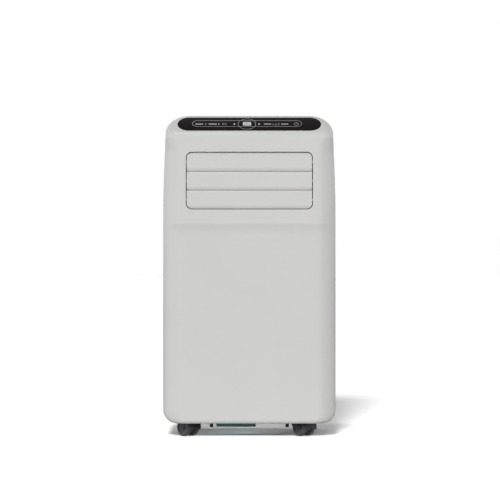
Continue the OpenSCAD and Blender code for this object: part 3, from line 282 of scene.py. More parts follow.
def faceLine(z):
    if z > panelHeadZ:
        share = min(1.0, (z - panelHeadZ) / (top - panelHeadZ))
        return panelHeadY + cabinet["topLipRun"] * arcIn(share)
    if z > panelFootZ:
        return panelFootY + (z - panelFootZ) * panelSlope
    if z > lipZ:
        turn = (panelSlope - faceSlope) * (z - lipZ) ** 2 / (2 * (panelFootZ - lipZ))
        return lipY + (z - lipZ) * faceSlope + turn
    if z > crestZ:
        return frontCrest + (z - crestZ) * faceSlope
    below = max(0.0, 1 - (crestZ - z) / cabinet["crestEase"])
    return frontLow - cabinet["crestStep"] * below * below


def slopeAt(z):
    if z > panelFootZ:
        return panelSlope
    if z > lipZ:
        return faceSlope + (panelSlope - faceSlope) * (z - lipZ) / (panelFootZ - lipZ)
    return faceSlope if z > crestZ else 0.0


def frontLine(z, g):
    drop = bottomDrop(z, g, cabinet["frontBottomRadius"])
    if g == 0:
        return faceLine(z) + drop
    inner = panelFootY + (z - panelFootZ) * panelSlope if z > panelFootZ else faceLine(z)
    return inner + g * sqrt(1 + slopeAt(z) ** 2) + drop


def backLine(z, g):
    if z > joinZ:
        deep = cabinet["rearRoundDepth"]
        return rearFace - deep + (deep - g) * topRound(z, g)
    return rearFace - g - bottomDrop(z, g, cabinet["rearBottomRadius"])


def ringRadius(z, g):
    corner = cabinet["cornerRadius"]
    if z < cabinet["underside"] + cabinet["bottomRadius"]:
        return corner - g - cabinet["bottomCorner"] * bottomDrop(z, g, cabinet["bottomRadius"])
    narrowing = ease((z - narrowZ) / cabinet["narrowRun"])
    return corner - g - (corner - cabinet["topCornerRadius"]) * narrowing


def crestFade(x):
    start, end = cabinet["crestFade"]
    return ease((abs(x) - start) / (end - start))


def cabinetRing(z, g):
    a, y0, y1, r = halfWidth(z, g), frontLine(z, g), backLine(z, g), ringRadius(z, g)
    steps = cabinet["cornerSteps"]
    proud = max(0.0, frontLow - faceLine(z)) if z < narrowZ else 0.0
    ring = []
    for q in range(4):
        for k in range(steps + 1):
            turn = radians(90 * (q + k / steps))
            cx = a - r if q in (0, 3) else r - a
            cy = y1 - r if q < 2 else y0 + r
            x, y = cx + r * cos(turn), cy + r * sin(turn)
            ring.append((x, y + proud * crestFade(x) if q > 1 else y, z))
        if q == 2:  # points along the front, so that the crest can fade towards the corners
            left = ring[-1][0]
            for k in range(1, steps):
                x = left + (a - r - left) * k / steps
                ring.append((x, y0 + proud * crestFade(x), z))
    return ring


def climb(low, high, count):
    return [low + (high - low) * k / count for k in range(count + 1)]


def cabinetHeights(g):
    r, last = cabinet["bottomRadius"], top - g
    foot, rows = cabinet["underside"] + r, cabinet["rows"]
    heights = [foot - (r - g) * cos(radians(a)) for a in range(0, 91, cabinet["footTurn"])]
    heights += [crestZ + rise for rise in cabinet["rowsAtCrest"]]
    heights += climb(crestZ, crestZ - cabinet["crestEase"], rows["crest"])
    heights += climb(taperZ, narrowZ, rows["taper"]) + climb(narrowZ, lipZ, rows["narrow"])
    heights += climb(lipZ, panelFootZ, rows["lip"])
    if g == 0:
        heights += climb(panelFootZ, panelHeadZ, rows["panel"])
        turns = climb(0, pi / 2, rows["round"])
        heights += [panelHeadZ + (last - panelHeadZ) * sin(a) for a in turns]
    else:
        heights += climb(panelFootZ, last - cabinet["hollowRim"], rows["panel"]) + [last]
    return sorted(set(round(h, 7) for h in heights))


def cabinetLoft(name, g):
    return tube(name, [cabinetRing(z, g) for z in cabinetHeights(g)])


# finishes: each reads Object coordinates, so it stays on the piece
usualLook = {
    "metal": 0.0, "shine": 0.35, "coat": 0.0, "coatRough": 0.2, "stretch": (1, 1, 1),
    "cloudScale": 14, "cloudDetail": 4, "tintSpan": (0.32, 0.68), "grainScale": 900,
    "grainDetail": 2, "relief": 0.15, "reliefDepth": 0.0001,
}


def feed(tree, node, links):
    # pairs an input's name or number with a value, or with the socket or the node that feeds
    # it, where a node stands for its first output
    for into, source in links:
        if isinstance(source, bpy.types.Node):
            source = source.outputs[0]
        if isinstance(source, bpy.types.NodeSocket):
            tree.links.new(source, node.inputs[into])
        else:
            node.inputs[into].default_value = source
    return node


def addNode(tree, kind, links=(), **settings):
    node = tree.nodes.new(kind)
    for key, value in settings.items():
        setattr(node, key, value)
    return feed(tree, node, links)


def maths(tree, operation, a, b):
    return addNode(tree, "ShaderNodeMath", [(0, a), (1, b)], operation=operation)


def moulded(name, look):
    # a cloudy tint, a fine grain in the relief and a sheen that wanders a little
    look = {**usualLook, **look}
    material = bpy.data.materials.new(name)
    material.use_nodes = True
    tree = material.node_tree
    shader = tree.nodes["Principled BSDF"]
    place = addNode(tree, "ShaderNodeTexCoord").outputs["Object"]
    spot = addNode(tree, "ShaderNodeMapping", [("Vector", place), ("Scale", look["stretch"])])
    cloud = addNode(tree, "ShaderNodeTexNoise", [
        ("Vector", spot), ("Scale", look["cloudScale"]), ("Detail", look["cloudDetail"])])
    tint = addNode(tree, "ShaderNodeValToRGB", [("Fac", cloud)])
    for end, position, tone in zip(tint.color_ramp.elements, look["tintSpan"], look["tones"]):
        end.position = position
        end.color = (*tone, 1)
    smooth, rough = look["rough"]
    sheen = addNode(tree, "ShaderNodeMapRange", [
        ("Value", cloud), ("To Min", smooth), ("To Max", rough)])
    grain = addNode(tree, "ShaderNodeTexNoise", [
        ("Vector", spot), ("Scale", look["grainScale"]), ("Detail", look["grainDetail"])])
    relief = addNode(tree, "ShaderNodeBump", [
        ("Height", grain), ("Strength", look["relief"]), ("Distance", look["reliefDepth"])])
    feed(tree, shader, [
        ("Base Color", tint), ("Roughness", sheen), ("Normal", relief),
        ("Metallic", look["metal"]), ("Specular IOR Level", look["shine"]),
        ("Coat Weight", look["coat"]), ("Coat Roughness", look["coatRough"])])
    if "glow" in look:  # a backlit mark, a little uneven as light behind a mask is
        feed(tree, shader, [("Emission Color", tint), ("Emission Strength", look["glow"])])
    return material


# the material slots' finishes, and the two that a few pieces have of their own
finishes = {
    "shell": {"name": "cover_plastic", "tones": ((0.571, 0.568, 0.557), (0.583, 0.580, 0.568)),
        "rough": (0.40, 0.46), "grainScale": 1600, "relief": 0.08, "reliefDepth": 0.00003,
        "cloudScale": 9, "coat": 0.3, "coatRough": 0.14},
    "panel": {"name": "touch_panel_gloss",
        "tones": ((0.0056, 0.0034, 0.0038), (0.0068, 0.0044, 0.0048)),
        "rough": (0.15, 0.21), "shine": 0.05, "grainScale": 260, "relief": 0.03,
        "reliefDepth": 0.00003},
    "duct": {"name": "duct_plastic", "tones": ((0.28, 0.28, 0.28), (0.32, 0.32, 0.32)),
        "rough": (0.45, 0.6), "relief": 0.2},
    "dark": {"name": "dark_plastic", "tones": ((0.040, 0.040, 0.043), (0.050, 0.050, 0.053)),
        "rough": (0.42, 0.56), "relief": 0.2},
    "pan": {"name": "pan_plastic", "tones": ((0.13, 0.13, 0.132), (0.15, 0.15, 0.152)),
        "rough": (0.45, 0.6), "relief": 0.25},
    "wheel": {"name": "wheel_rubber", "tones": ((0.062, 0.062, 0.067), (0.078, 0.078, 0.083)),
        "rough": (0.5, 0.66), "relief": 0.25, "grainScale": 600},
    "board": {"name": "board_varnish", "tones": ((0.014, 0.10, 0.04), (0.026, 0.14, 0.06)),
        "rough": (0.2, 0.34), "cloudScale": 160, "coat": 0.4},
    "steel": {"name": "sheet_steel", "tones": ((0.50, 0.51, 0.53), (0.60, 0.61, 0.63)),
        "rough": (0.3, 0.46), "metal": 1.0, "cloudScale": 60, "stretch": (1, 1, 12),
        "relief": 0.1},
    "blackSteel": {"name": "black_steel", "tones": ((0.030, 0.030, 0.033), (0.045, 0.045, 0.048)),
        "rough": (0.4, 0.55), "metal": 0.6},
    "fins": {"name": "fin_stock", "tones": ((0.66, 0.68, 0.70), (0.78, 0.80, 0.82)),
        "rough": (0.3, 0.44), "metal": 1.0, "cloudScale": 40, "relief": 0.1},
    "foam": {"name": "white_plastic", "tones": ((0.60, 0.60, 0.58), (0.64, 0.64, 0.62)),
        "rough": (0.55, 0.7), "grainScale": 420, "relief": 0.4},
    "tank": {"name": "tank_enamel", "tones": ((0.010, 0.011, 0.012), (0.014, 0.015, 0.016)),
        "rough": (0.22, 0.34), "coat": 0.3, "cloudScale": 30},
    "copper": {"name": "drawn_copper", "tones": ((0.66, 0.30, 0.17), (0.78, 0.40, 0.24)),
        "rough": (0.24, 0.38), "metal": 1.0, "cloudScale": 70},
    "mesh": {"name": "net_plastic", "tones": ((0.09, 0.10, 0.11), (0.11, 0.12, 0.13)),
        "rough": (0.5, 0.64)},
    "stopper": {"name": "stopper_rubber", "tones": ((0.026, 0.026, 0.026), (0.034, 0.034, 0.034)),
        "rough": (0.55, 0.7), "relief": 0.3},
    "sump": {"name": "sump_plastic", "tones": ((0.19, 0.46, 0.47), (0.22, 0.50, 0.51)),
        "rough": (0.55, 0.65), "shine": 0.10},
    "floatfoam": {"name": "float_foam", "tones": ((0.70, 0.29, 0.05), (0.80, 0.35, 0.07)),
        "rough": (0.5, 0.65), "relief": 0.3},
}
finishOf = {key: moulded(look["name"], look) for key, look in finishes.items()}
for node, solid in cadNodes.items():
    for held in solid.material_slots:
        held.material = finishOf[slotOfNode[node]]
print("finishes laid on the solids")

# the two covers: a shell with its openings, parted at the seam
louvre = {"centre": 0.5113, "width": 0.2530, "height": 0.1152, "corner": 0.012,
          "hole": (-0.016, 0.008), "cornerSteps": 12}
louvreY = frontCrest + (louvre["centre"] - crestZ) * faceSlope
louvrePlace = Matrix.Translation((0, louvreY, louvre["centre"])) @ Matrix.Rotation(
    radians(-cabinet["faceLean"]), 4, "X")
panel = {"length": 0.287, "height": 0.044, "thickness": 0.003, "gap": 0.0003, "edge": 0.0008,
         "seatLonger": 0.006, "seatTaller": 0.003, "seatDeep": 0.002, "seatUp": 0.0006,
         "pocketUp": 0.009, "boardSlot": (-0.095, 0.085, -0.013, 0.013), "slotDeep": 0.012,
         "endSteps": 24, "edgeSteps": 4}
panelMiddle = (0, (panelFootY + panelHeadY) / 2, (panelFootZ + panelHeadZ) / 2)
panelPlace = Matrix.Translation(panelMiddle) @ Matrix.Rotation(
    radians(cabinet["panelTilt"]), 4, "X")
pan = {"halfWidth": 0.150, "front": -0.144, "back": 0.151, "corner": 0.024, "floor": 0.030}
past = 0.001  # how far a cutter runs past the face it opens
shell = carve(cabinetLoft("front_cover_shell", 0.0), cabinetLoft("hollow", cabinet["wall"]))
panOutline = roundedOutline(2 * pan["halfWidth"], pan["back"] - pan["front"], pan["corner"],
                            centre=(0, (pan["front"] + pan["back"]) / 2))
carve(shell, prism("pan_hole", panOutline, cabinet["underside"] - past, pan["floor"] + past))
rearShell = linkObject("rear_half", shell.data.copy())
around, above = 0.2, 0.7  # a block that takes in the whole cabinet
seamFront = cabinet["seam"] - cabinet["seamGap"] / 2
seamBack = cabinet["seam"] + cabinet["seamGap"] / 2
for half, y0, y1 in ((shell, -around, seamFront), (rearShell, seamBack, around)):
    carve(half, brick("keep", -around, around, y0, y1, 0, above), "INTERSECT")

underPanel = -panel["thickness"]
seatOutline = stadium(panel["length"] + panel["seatLonger"], panel["height"] + panel["seatTaller"])
carve(shell, prism("panel_seat", seatOutline, underPanel - panel["seatDeep"],
                   underPanel + panel["seatUp"], panelPlace), "UNION")
louvreOutline = roundedOutline(louvre["width"], louvre["height"], louvre["corner"],
                               louvre["cornerSteps"])
carve(shell, prism("louvre_hole", louvreOutline, *louvre["hole"], louvrePlace @ upright))
pocketOutline = stadium(panel["length"] + 2 * panel["gap"], panel["height"] + 2 * panel["gap"])
carve(shell, prism("panel_pocket", pocketOutline, underPanel, panel["pocketUp"], panelPlace))
carve(shell, brick("board_slot", *panel["boardSlot"], -panel["slotDeep"], underPanel, panelPlace))
settle(shell, "front_cover")
print("front cover", len(shell.data.polygons))

rear = {  # the holes: radius and number of sides
    "grilleCorner": 0.010, "grilleHole": 0.0073, "rim": 0.003, "lip": 0.006, "lipCorner": 0.004,
    "faceIn": 0.0003, "grilleDeep": 0.006, "ledge": 0.003, "ledgeGap": 0.0003, "through": 0.009,
    "cornerSteps": 8, "port": (0.0783, 96), "portHeight": 0.262, "plugHole": (0.011, 40),
    "plugX": 0.104, "plugHeights": (0.319, 0.044), "gland": (0.0093, 36),
    "glandAt": (-0.118, 0.212), "screw": (0.0022, 20), "screwHead": (0.0041, 28),
    "screwX": 0.128, "screwHeights": (0.319, 0.074),
}
# width, height and the middle's height
intakes = {"upper": (0.236, 0.204, 0.487), "lower": (0.236, 0.110, 0.119)}
grip = {"width": 0.096, "height": 0.026, "at": (0.080, 0.560), "depth": 0.022, "wall": 0.0025,
        "ease": 0.001, "through": 0.009}


def intakeOutline(size, grow=0.0, corner=None):
    width, height, centre = size
    corner = rear["grilleCorner"] + grow if corner is None else corner
    return roundedOutline(width + 2 * grow, height + 2 * grow, corner, rear["cornerSteps"],
                          (0, centre))


def gripCup(name, grow, side, beyond):
    # a cup that runs in from the side wall; grow makes its outer wall
    corner = grip["height"] / 2 - grip["ease"] + grow
    outline = roundedOutline(grip["width"] + 2 * grow, grip["height"] + 2 * grow, corner,
                             rear["cornerSteps"], grip["at"])
    out = halfWidth(grip["at"][1], 0.0)
    return tube(name, [[(side * x, u, v) for u, v in outline]
                       for x in (out - grip["depth"] - grow, out + beyond)])


for side in (-1, 1):
    carve(rearShell, gripCup("grip_wall", grip["wall"], side, -cabinet["wall"] / 2), "UNION")
for side in (-1, 1):
    carve(rearShell, gripCup("grip_hollow", 0.0, side, grip["through"]))
for size in intakes.values():
    carve(rearShell, prism("grille_hole", intakeOutline(size), rearFace - rear["grilleHole"],
                           rearFace + past, upright))
screwPlaces = [(side * rear["screwX"], z) for side in (-1, 1) for z in rear["screwHeights"]]
holes = {"port": [(0.0, rear["portHeight"])],
         "plugHole": [(rear["plugX"], z) for z in rear["plugHeights"]],
         "gland": [rear["glandAt"]], "screw": screwPlaces, "screwHead": screwPlaces}
for key, spots in holes.items():
    radius, steps = rear[key]
    deep = cabinet["wall"] / 2 if key == "screwHead" else rear["through"]
    for spot in spots:
        carve(rearShell, disc("hole", spot, radius, rearFace - deep, rearFace + past, 0.0, steps))
grilleFront = rearFace - rear["faceIn"] - rear["grilleDeep"]
ledgeBack = grilleFront - rear["ledgeGap"]
ledgeFront = ledgeBack - rear["ledge"]
ledges = []
for size in intakes.values():
    ledges.append(collarRing("ledge_frame", intakeOutline(size, rear["rim"]), intakeOutline(size),
                             ledgeFront, rearFace - past, upright))
    ledges.append(collarRing(
        "ledge", intakeOutline(size, rear["rim"] / 2, rear["grilleCorner"]),
        intakeOutline(size, -rear["lip"], rear["grilleCorner"] - rear["lipCorner"]),
        ledgeFront, ledgeBack, upright))
rearShell = joined("rear_cover_shell", [rearShell] + ledges)
settle(rearShell, "rear_cover")
print("rear cover", len(rearShell.data.polygons))

# the touch panel, and its lit marks: millimetres across and up its slope, metres out of it,
# and radius, sides and middle of the round ones
settle(prism("touch_panel", stadium(panel["length"], panel["height"], panel["endSteps"]),
             underPanel, 0.0, panelPlace, panel["edge"], panel["edgeSteps"]), "control_panel")
marks = {
    "sink": -0.00002, "rise": 0.00006, "digitLevels": (0.00003, 0.00009), "line": 0.75,
    "flat": 0.01, "pill": (-114.2, 105.0, -8.6, 12.0), "pillSteps": 20, "powerLine": 0.8,
    "ring": (17.9, 72, (-4.8, 0.2)), "dot": (1.3, 20, (-87.6, 0.0)),
    "power": (4.6, 40, (93.7, 0.0)), "lamp": (0.5, 20, (-5.0, 12.4)),
    "bars": [  # the four plain ones, two brackets, three ticks on their line, the power stem
        (-108, -92.4, -1.5, 1.5), (-81.5, -65.1, -1.5, 1.5), (29.1, 43.7, -1.5, 1.5),
        (63.7, 77.7, -1.5, 1.5), (-62.1, -58.7, -2.6, -1.9), (-62.1, -58.7, 1.9, 2.6),
        (-62.1, -61.3, -1.9, 1.9), (-54.1, -45.1, -2.6, -1.9), (-54.1, -45.1, 1.9, 2.6),
        (-54.1, -53.3, -1.9, 1.9), (46.8, 47.8, -2.2, 0.8), (52.8, 53.8, -2.2, 1.9),
        (58.4, 59.4, -2.2, 3.0), (46.3, 59.9, -3.2, -2.7), (93.3, 94.1, 1.0, 6.2)],
    "arrows": [(-30.5, 1), (20.1, -1)], "arrow": (1.9, 2.2, 3.0),
    "digits": "24", "digitBox": (-12.9, 3.5, -4.9, 6.9), "boxCorner": (1.2, 5),
    "digitTall": 6.6, "digitWide": 4.2, "digitGap": 1.2, "stroke": 0.55,
}
markLooks = {
    "ink": {"tones": ((0.17, 0.17, 0.17), (0.23, 0.23, 0.23)), "rough": (0.3, 0.4), "glow": 0.8},
    "lamp": {"tones": ((0.42, 0.43, 0.44), (0.50, 0.51, 0.52)), "rough": (0.3, 0.4), "glow": 0.2},
}


def inMetres(points):
    return [(u / 1000, v / 1000) for u, v in points]


def mark(points):
    return prism("mark", inMetres(points), marks["sink"], marks["rise"], panelPlace)


def markRing(outer, inner):
    return collarRing("mark", inMetres(outer), inMetres(inner), marks["sink"], marks["rise"],
                      panelPlace)


def markCircle(width, radius, steps, spot):
    return markRing(circleOutline(radius, steps, spot), circleOutline(radius - width, steps, spot))


def pillOutline(inset):
    x0, x1, s0, s1 = marks["pill"]
    return stadium(x1 - x0 - 2 * inset, s1 - s0 - 2 * inset, marks["pillSteps"],
                   ((x0 + x1) / 2, (s0 + s1) / 2), marks["flat"])


inks = [markRing(pillOutline(0), pillOutline(marks["line"])),
        markCircle(marks["line"], *marks["ring"]), mark(circleOutline(*marks["dot"])),
        markCircle(marks["powerLine"], *marks["power"])]
inks += [mark(corners(*bar)) for bar in marks["bars"]]
settle(joined("panel_marks", inks), "control_panel", moulded("mark_ink", markLooks["ink"]),
       0, False)

lamps = [mark(circleOutline(*marks["lamp"]))]
base, tip, half = marks["arrow"]
for x, sense in marks["arrows"]:
    points = [(x + base * sense, -half), (x + base * sense, half), (x - tip * sense, 0.0)]
    lamps.append(mark(points if sense > 0 else list(reversed(points))))
x0, x1, s0, s1 = marks["digitBox"]
boxX, boxS = (x0 + x1) / 2, (s0 + s1) / 2
lamps.append(mark(roundedOutline(x1 - x0, s1 - s0, *marks["boxCorner"], (boxX, boxS))))
settle(joined("panel_lamps", lamps), "control_panel", moulded("mark_lamp", markLooks["lamp"]),
       0, False)

segmentsOf = {"2": "abged", "4": "fgbc"}
wide, gap, stroke = marks["digitWide"], marks["digitGap"], marks["stroke"]
low, high = boxS - marks["digitTall"] / 2, boxS + marks["digitTall"] / 2
digits = []
for number, digit in enumerate(marks["digits"]):
    left = boxX - wide - gap / 2 + number * (wide + gap)
    right = left + wide
    strokes = {
        "a": (left, right, high - stroke, high), "d": (left, right, low, low + stroke),
        "g": (left, right, boxS - stroke / 2, boxS + stroke / 2),
        "f": (left, left + stroke, boxS, high), "b": (right - stroke, right, boxS, high),
        "e": (left, left + stroke, low, boxS), "c": (right - stroke, right, low, boxS),
    }
    for letter in segmentsOf[digit]:
        stroked = inMetres(corners(*strokes[letter]))
        digits.append(prism("digit", stroked, *marks["digitLevels"], panelPlace))
settle(joined("panel_digits", digits), "control_panel", finishOf["dark"], 0, False)
print("panel and marks")

# louvre blades: a flat face, a rolled top and a lower edge that turns in
blade = {"pitch": 0.0376, "half": 0.0184, "width": 0.2498, "face": 0.0008, "thick": 0.003,
         "edgeRun": 0.0003, "rollUp": 0.0003, "rollIn": 0.0003, "bevelUp": 0.0037,
         "bevelIn": 0.0026, "turnUp": 0.0065, "turnIn": 0.0026, "turnPower": 1.6,
         "backFoot": 0.007, "toe": [(0.0042, 0.0034), (0.0048, 0.0)], "corner": 0.0104,
         "windowHalf": 0.056, "window": (-0.002, 0.012), "rollSteps": 4, "turnSteps": 8}
hinge = {"pinIn": 0.009, "pin": (0.0025, 24), "pinFrom": 0.003, "boss": (0.004, 24),
         "armHalf": 0.002, "armIn": 0.004, "armTall": 0.004, "sink": 0.0002, "ductHalf": 0.1275,
         "ductWall": 0.0025, "drive": 0.006, "linkX": 0.106, "linkIn": 0.013, "linkDrop": 0.022,
         "linkPin": (0.0015, 20), "linkPinHalf": 0.002, "crankFrom": 0.0015, "crankTo": 0.004,
         "crankTop": -0.012, "crankNear": [(0.0036, -0.006), (0.0036, -0.012), (0.0052, -0.017)],
         "crankFoot": [(-0.004, -0.002), (0.0, -0.0035), (0.003, 0.0)]}


def bladeProfile():
    # (depth, height) round the section, from the flat face's foot upwards
    h = blade["half"]
    foot, bevel = blade["turnUp"] - h, h - blade["bevelUp"]
    points = [(0.0, foot), (0.0, foot + blade["edgeRun"]), (0.0, bevel - blade["edgeRun"]),
              (0.0, bevel)]
    for turn in climb(0, pi / 2, blade["rollSteps"]):
        points.append((blade["bevelIn"] + blade["rollIn"] * (1 - cos(turn)),
                       h - blade["rollUp"] * (1 - sin(turn))))
    points += [(blade["thick"], h), (blade["thick"], blade["backFoot"] - h)]
    points += [(deep, rise - h) for deep, rise in blade["toe"]]
    for share in reversed(climb(0, 1, blade["turnSteps"])[1:]):
        points.append((blade["turnIn"] * share ** blade["turnPower"],
                       foot - blade["turnUp"] * share))
    return points


def bladeBar(centre):
    halfLong = blade["width"] / 2
    rows = [[(x, blade["face"] + deep, centre + z) for deep, z in bladeProfile()]
            for x in (-halfLong, halfLong)]
    window = roundedOutline(blade["width"], 2 * blade["windowHalf"], blade["corner"])
    return carve(tube("blade_bar", rows, louvrePlace),
                 prism("window", window, *blade["window"], louvrePlace @ upright), "INTERSECT")


def acrossPlate(name, outline, x0, x1):
    # a plate drawn in depth and height, between two places across the louvre
    return prism(name, outline, x0, x1, louvrePlace @ across)


def bladeHinges(centre, drive):
    pivot = (hinge["pinIn"], centre)
    end, half = blade["width"] / 2, hinge["armHalf"]
    back = blade["face"] + blade["thick"] - hinge["sink"]
    arm = corners(back, hinge["pinIn"], centre - hinge["armTall"], centre + hinge["armTall"])
    boss, pin = (circleOutline(*hinge[key], pivot) for key in ("boss", "pin"))
    parts = []
    for side in (-1, 1):
        x = side * (end - hinge["armIn"])
        parts.append(acrossPlate("arm", arm, x - half, x + half))
        parts.append(acrossPlate("boss", boss, x - half, x + half))
    reach = hinge["ductHalf"] + hinge["ductWall"]
    parts.append(acrossPlate("pin", pin, -reach, hinge["pinFrom"] - end))
    parts.append(acrossPlate("pin", pin, end - hinge["pinFrom"], reach + drive))
    deep, drop, x = hinge["linkIn"], hinge["linkDrop"], hinge["linkX"]
    crank = hinge["crankNear"] + [(deep + u, v - drop) for u, v in hinge["crankFoot"]]
    crank = [(u, centre + v) for u, v in crank + [(deep, hinge["crankTop"])]]
    parts.append(acrossPlate("crank", crank, x + hinge["crankFrom"], x + hinge["crankTo"]))
    pin, half = circleOutline(*hinge["linkPin"], (deep, centre - drop)), hinge["linkPinHalf"]
    parts.append(acrossPlate("crank_pin", pin, x - half, x + half))
    return parts


for number in (1, 2, 3):
    centre = (2 - number) * blade["pitch"]
    drive = hinge["drive"] if number == 2 else 0.0
    bar = joined("blade_face_%d" % number, [bladeBar(centre)] + bladeHinges(centre, drive))
    settle(bar, "blade_%d" % number, angle=smoothing["blade"])
print("louvre blades")


# node trees for what repeats or follows a path: built once, their inputs set for each piece
growth = {"bladeCuts": 7, "bendSteps": 6, "tubeSides": 16}


def growthTree(name, inputs):
    tree = bpy.data.node_groups.new(name, "GeometryNodeTree")
    for label, kind in {"Geometry": "Geometry", "Finish": "Material", **inputs}.items():
        tree.interface.new_socket(label, in_out="INPUT", socket_type="NodeSocket" + kind)
    tree.interface.new_socket("Geometry", in_out="OUTPUT", socket_type="NodeSocketGeometry")
    return tree, tree.nodes.new("NodeGroupInput").outputs


def finishTree(tree, finish, shape):
    real = addNode(tree, "GeometryNodeRealizeInstances", [("Geometry", shape)])
    paint = addNode(tree, "GeometryNodeSetMaterial", [("Geometry", real), ("Material", finish)])
    addNode(tree, "NodeGroupOutput", [("Geometry", paint)])
    return tree


def placeAxis(tree, axis):
    here = addNode(tree, "GeometryNodeInputPosition")
    return addNode(tree, "ShaderNodeSeparateXYZ", [("Vector", here)]).outputs[axis]


def vector(tree, x=0.0, y=0.0, z=0.0):
    return addNode(tree, "ShaderNodeCombineXYZ", enumerate((x, y, z)))


def shifted(tree, shape, offset):
    return addNode(tree, "GeometryNodeSetPosition", [("Geometry", shape), ("Offset", offset)])


def lineOf(tree, count, start, step):
    return addNode(tree, "GeometryNodeMeshLine", [
        ("Count", count), ("Start Location", start), ("Offset", step)],
        mode="OFFSET", count_mode="TOTAL")


def barRowTree():
    # equal bars in a row, each sheared by Lean over its depth
    tree, given = growthTree("bar_row", {
        "Count": "Int", "Start": "Vector", "Step": "Vector", "Size": "Vector", "Lean": "Vector"})
    row = lineOf(tree, given["Count"], given["Start"], given["Step"])
    bar = addNode(tree, "GeometryNodeMeshCube", [("Size", given["Size"])])
    shear = addNode(tree, "ShaderNodeVectorMath", [
        (0, given["Lean"]), ("Scale", placeAxis(tree, "Y"))], operation="SCALE")
    return finishTree(tree, given["Finish"], addNode(tree, "GeometryNodeInstanceOnPoints", [
        ("Points", row), ("Instance", shifted(tree, bar, shear))]))


def bladeRingTree():
    # bowed blades round an axis along Y, each turned at its root by Turn
    tree, given = growthTree("blade_ring", {
        "Count": "Int", "Centre": "Vector", "Size": "Vector", "Root": "Float", "Bow": "Float",
        "Turn": "Float"})
    chord = addNode(tree, "ShaderNodeSeparateXYZ", [("Vector", given["Size"])]).outputs["X"]
    flat = addNode(tree, "GeometryNodeMeshCube", [
        ("Size", given["Size"]), ("Vertices X", growth["bladeCuts"])])
    along = placeAxis(tree, "X")
    sag = maths(tree, "MULTIPLY", maths(tree, "MULTIPLY", along, along), given["Bow"])
    shift = vector(tree, maths(tree, "MULTIPLY", chord, 0.5), z=sag)
    placed = addNode(tree, "GeometryNodeTransform", [
        ("Geometry", shifted(tree, flat, shift)), ("Translation", vector(tree, given["Root"])),
        ("Rotation", vector(tree, y=given["Turn"]))])
    index = addNode(tree, "GeometryNodeInputIndex")
    share = maths(tree, "DIVIDE", index, given["Count"])
    return finishTree(tree, given["Finish"], addNode(tree, "GeometryNodeInstanceOnPoints", [
        ("Points", lineOf(tree, given["Count"], given["Centre"], (0, 0, 0))), ("Instance", placed),
        ("Rotation", vector(tree, y=maths(tree, "MULTIPLY", share, 2 * pi)))]))


def tubeRunTree():
    # a round tube along the piece's own line of edges, with its corners bent
    tree, given = growthTree("tube_run", {"Radius": "Float", "Bend": "Float"})
    line = addNode(tree, "GeometryNodeMeshToCurve", [("Mesh", given["Geometry"])])
    bent = addNode(tree, "GeometryNodeFilletCurve", [
        ("Curve", line), ("Radius", given["Bend"]), ("Count", growth["bendSteps"]),
        ("Limit Radius", True)], mode="POLY")
    profile = addNode(tree, "GeometryNodeCurvePrimitiveCircle", [
        ("Resolution", growth["tubeSides"]), ("Radius", given["Radius"])])
    return finishTree(tree, given["Finish"], addNode(tree, "GeometryNodeCurveToMesh", [
        ("Curve", bent), ("Profile Curve", profile), ("Fill Caps", True)]))


barRow, bladeRing, tubeRun = barRowTree(), bladeRingTree(), tubeRunTree()


def grown(name, finish, tree, values, points=()):
    # runs a tree on a new piece, whose own mesh is the line through the points
    values["Finish"] = finish
    mesh = bpy.data.meshes.new(name)
    edges = [(k, k + 1) for k in range(len(points) - 1)]
    mesh.from_pydata([Vector(p) for p in points], edges, [])
    piece = linkObject(name, mesh)
    step = piece.modifiers.new("growth", "NODES")
    step.node_group = tree
    for item in tree.interface.items_tree:
        if item.in_out == "INPUT" and item.name in values:
            step[item.identifier] = values[item.name]
    return bake(piece)


def bars(name, finish, count, pitch, middle, size, axis=0, lean=0.0):
    # a row of bars about its middle, across on axis 0 or upwards on axis 2
    start, step = [float(p) for p in middle], [0.0, 0.0, 0.0]
    start[axis] -= (count - 1) / 2 * pitch
    step[axis] = pitch
    return grown(name, finish, barRow, {
        "Count": count, "Start": start, "Step": step, "Size": size, "Lean": (0.0, 0.0, lean)})


# intake grilles: a frame, leaned slats and the ribs behind them
grille = {"gap": 0.0004, "band": 0.008, "slatPitch": 0.012, "slatDepth": 0.0048,
          "slatHeight": 0.004, "slatFall": -0.005, "slatIn": 0.0006, "slatRise": 0.0015,
          "slatEnd": 0.0085, "ribs": 3, "rib": 0.003, "ribDeep": 0.002, "innerCorner": 0.006,
          "edge": 0.0009}
for which, size in intakes.items():
    wide, tall, centre = size[0] - 2 * grille["gap"], size[1] - 2 * grille["gap"], size[2]
    insideTall = tall - 2 * grille["band"]
    inner = intakeOutline(size, -grille["gap"] - grille["band"], grille["innerCorner"])
    slatY = grilleFront + grille["slatIn"] + grille["slatDepth"] / 2
    finish = finishOf[slotOfNode[which + "_grille"]]
    face = joined(which + "_grille_face", [
        collarRing("grille_rim", intakeOutline(size, -grille["gap"]), inner, grilleFront,
                   rearFace - rear["faceIn"], upright, grille["edge"]),
        bars("grille_slats", finish, int(insideTall / grille["slatPitch"]), grille["slatPitch"],
             (0, slatY, centre + grille["slatRise"]),
             (wide - 2 * grille["slatEnd"], grille["slatDepth"], grille["slatHeight"]), 2,
             grille["slatFall"] / grille["slatDepth"]),
        bars("grille_ribs", finish, grille["ribs"], wide / (grille["ribs"] + 1),
             (0, grilleFront + grille["ribDeep"] / 2, centre),
             (grille["rib"], grille["ribDeep"], insideTall))])
    settle(face, which + "_grille")
print("grilles")

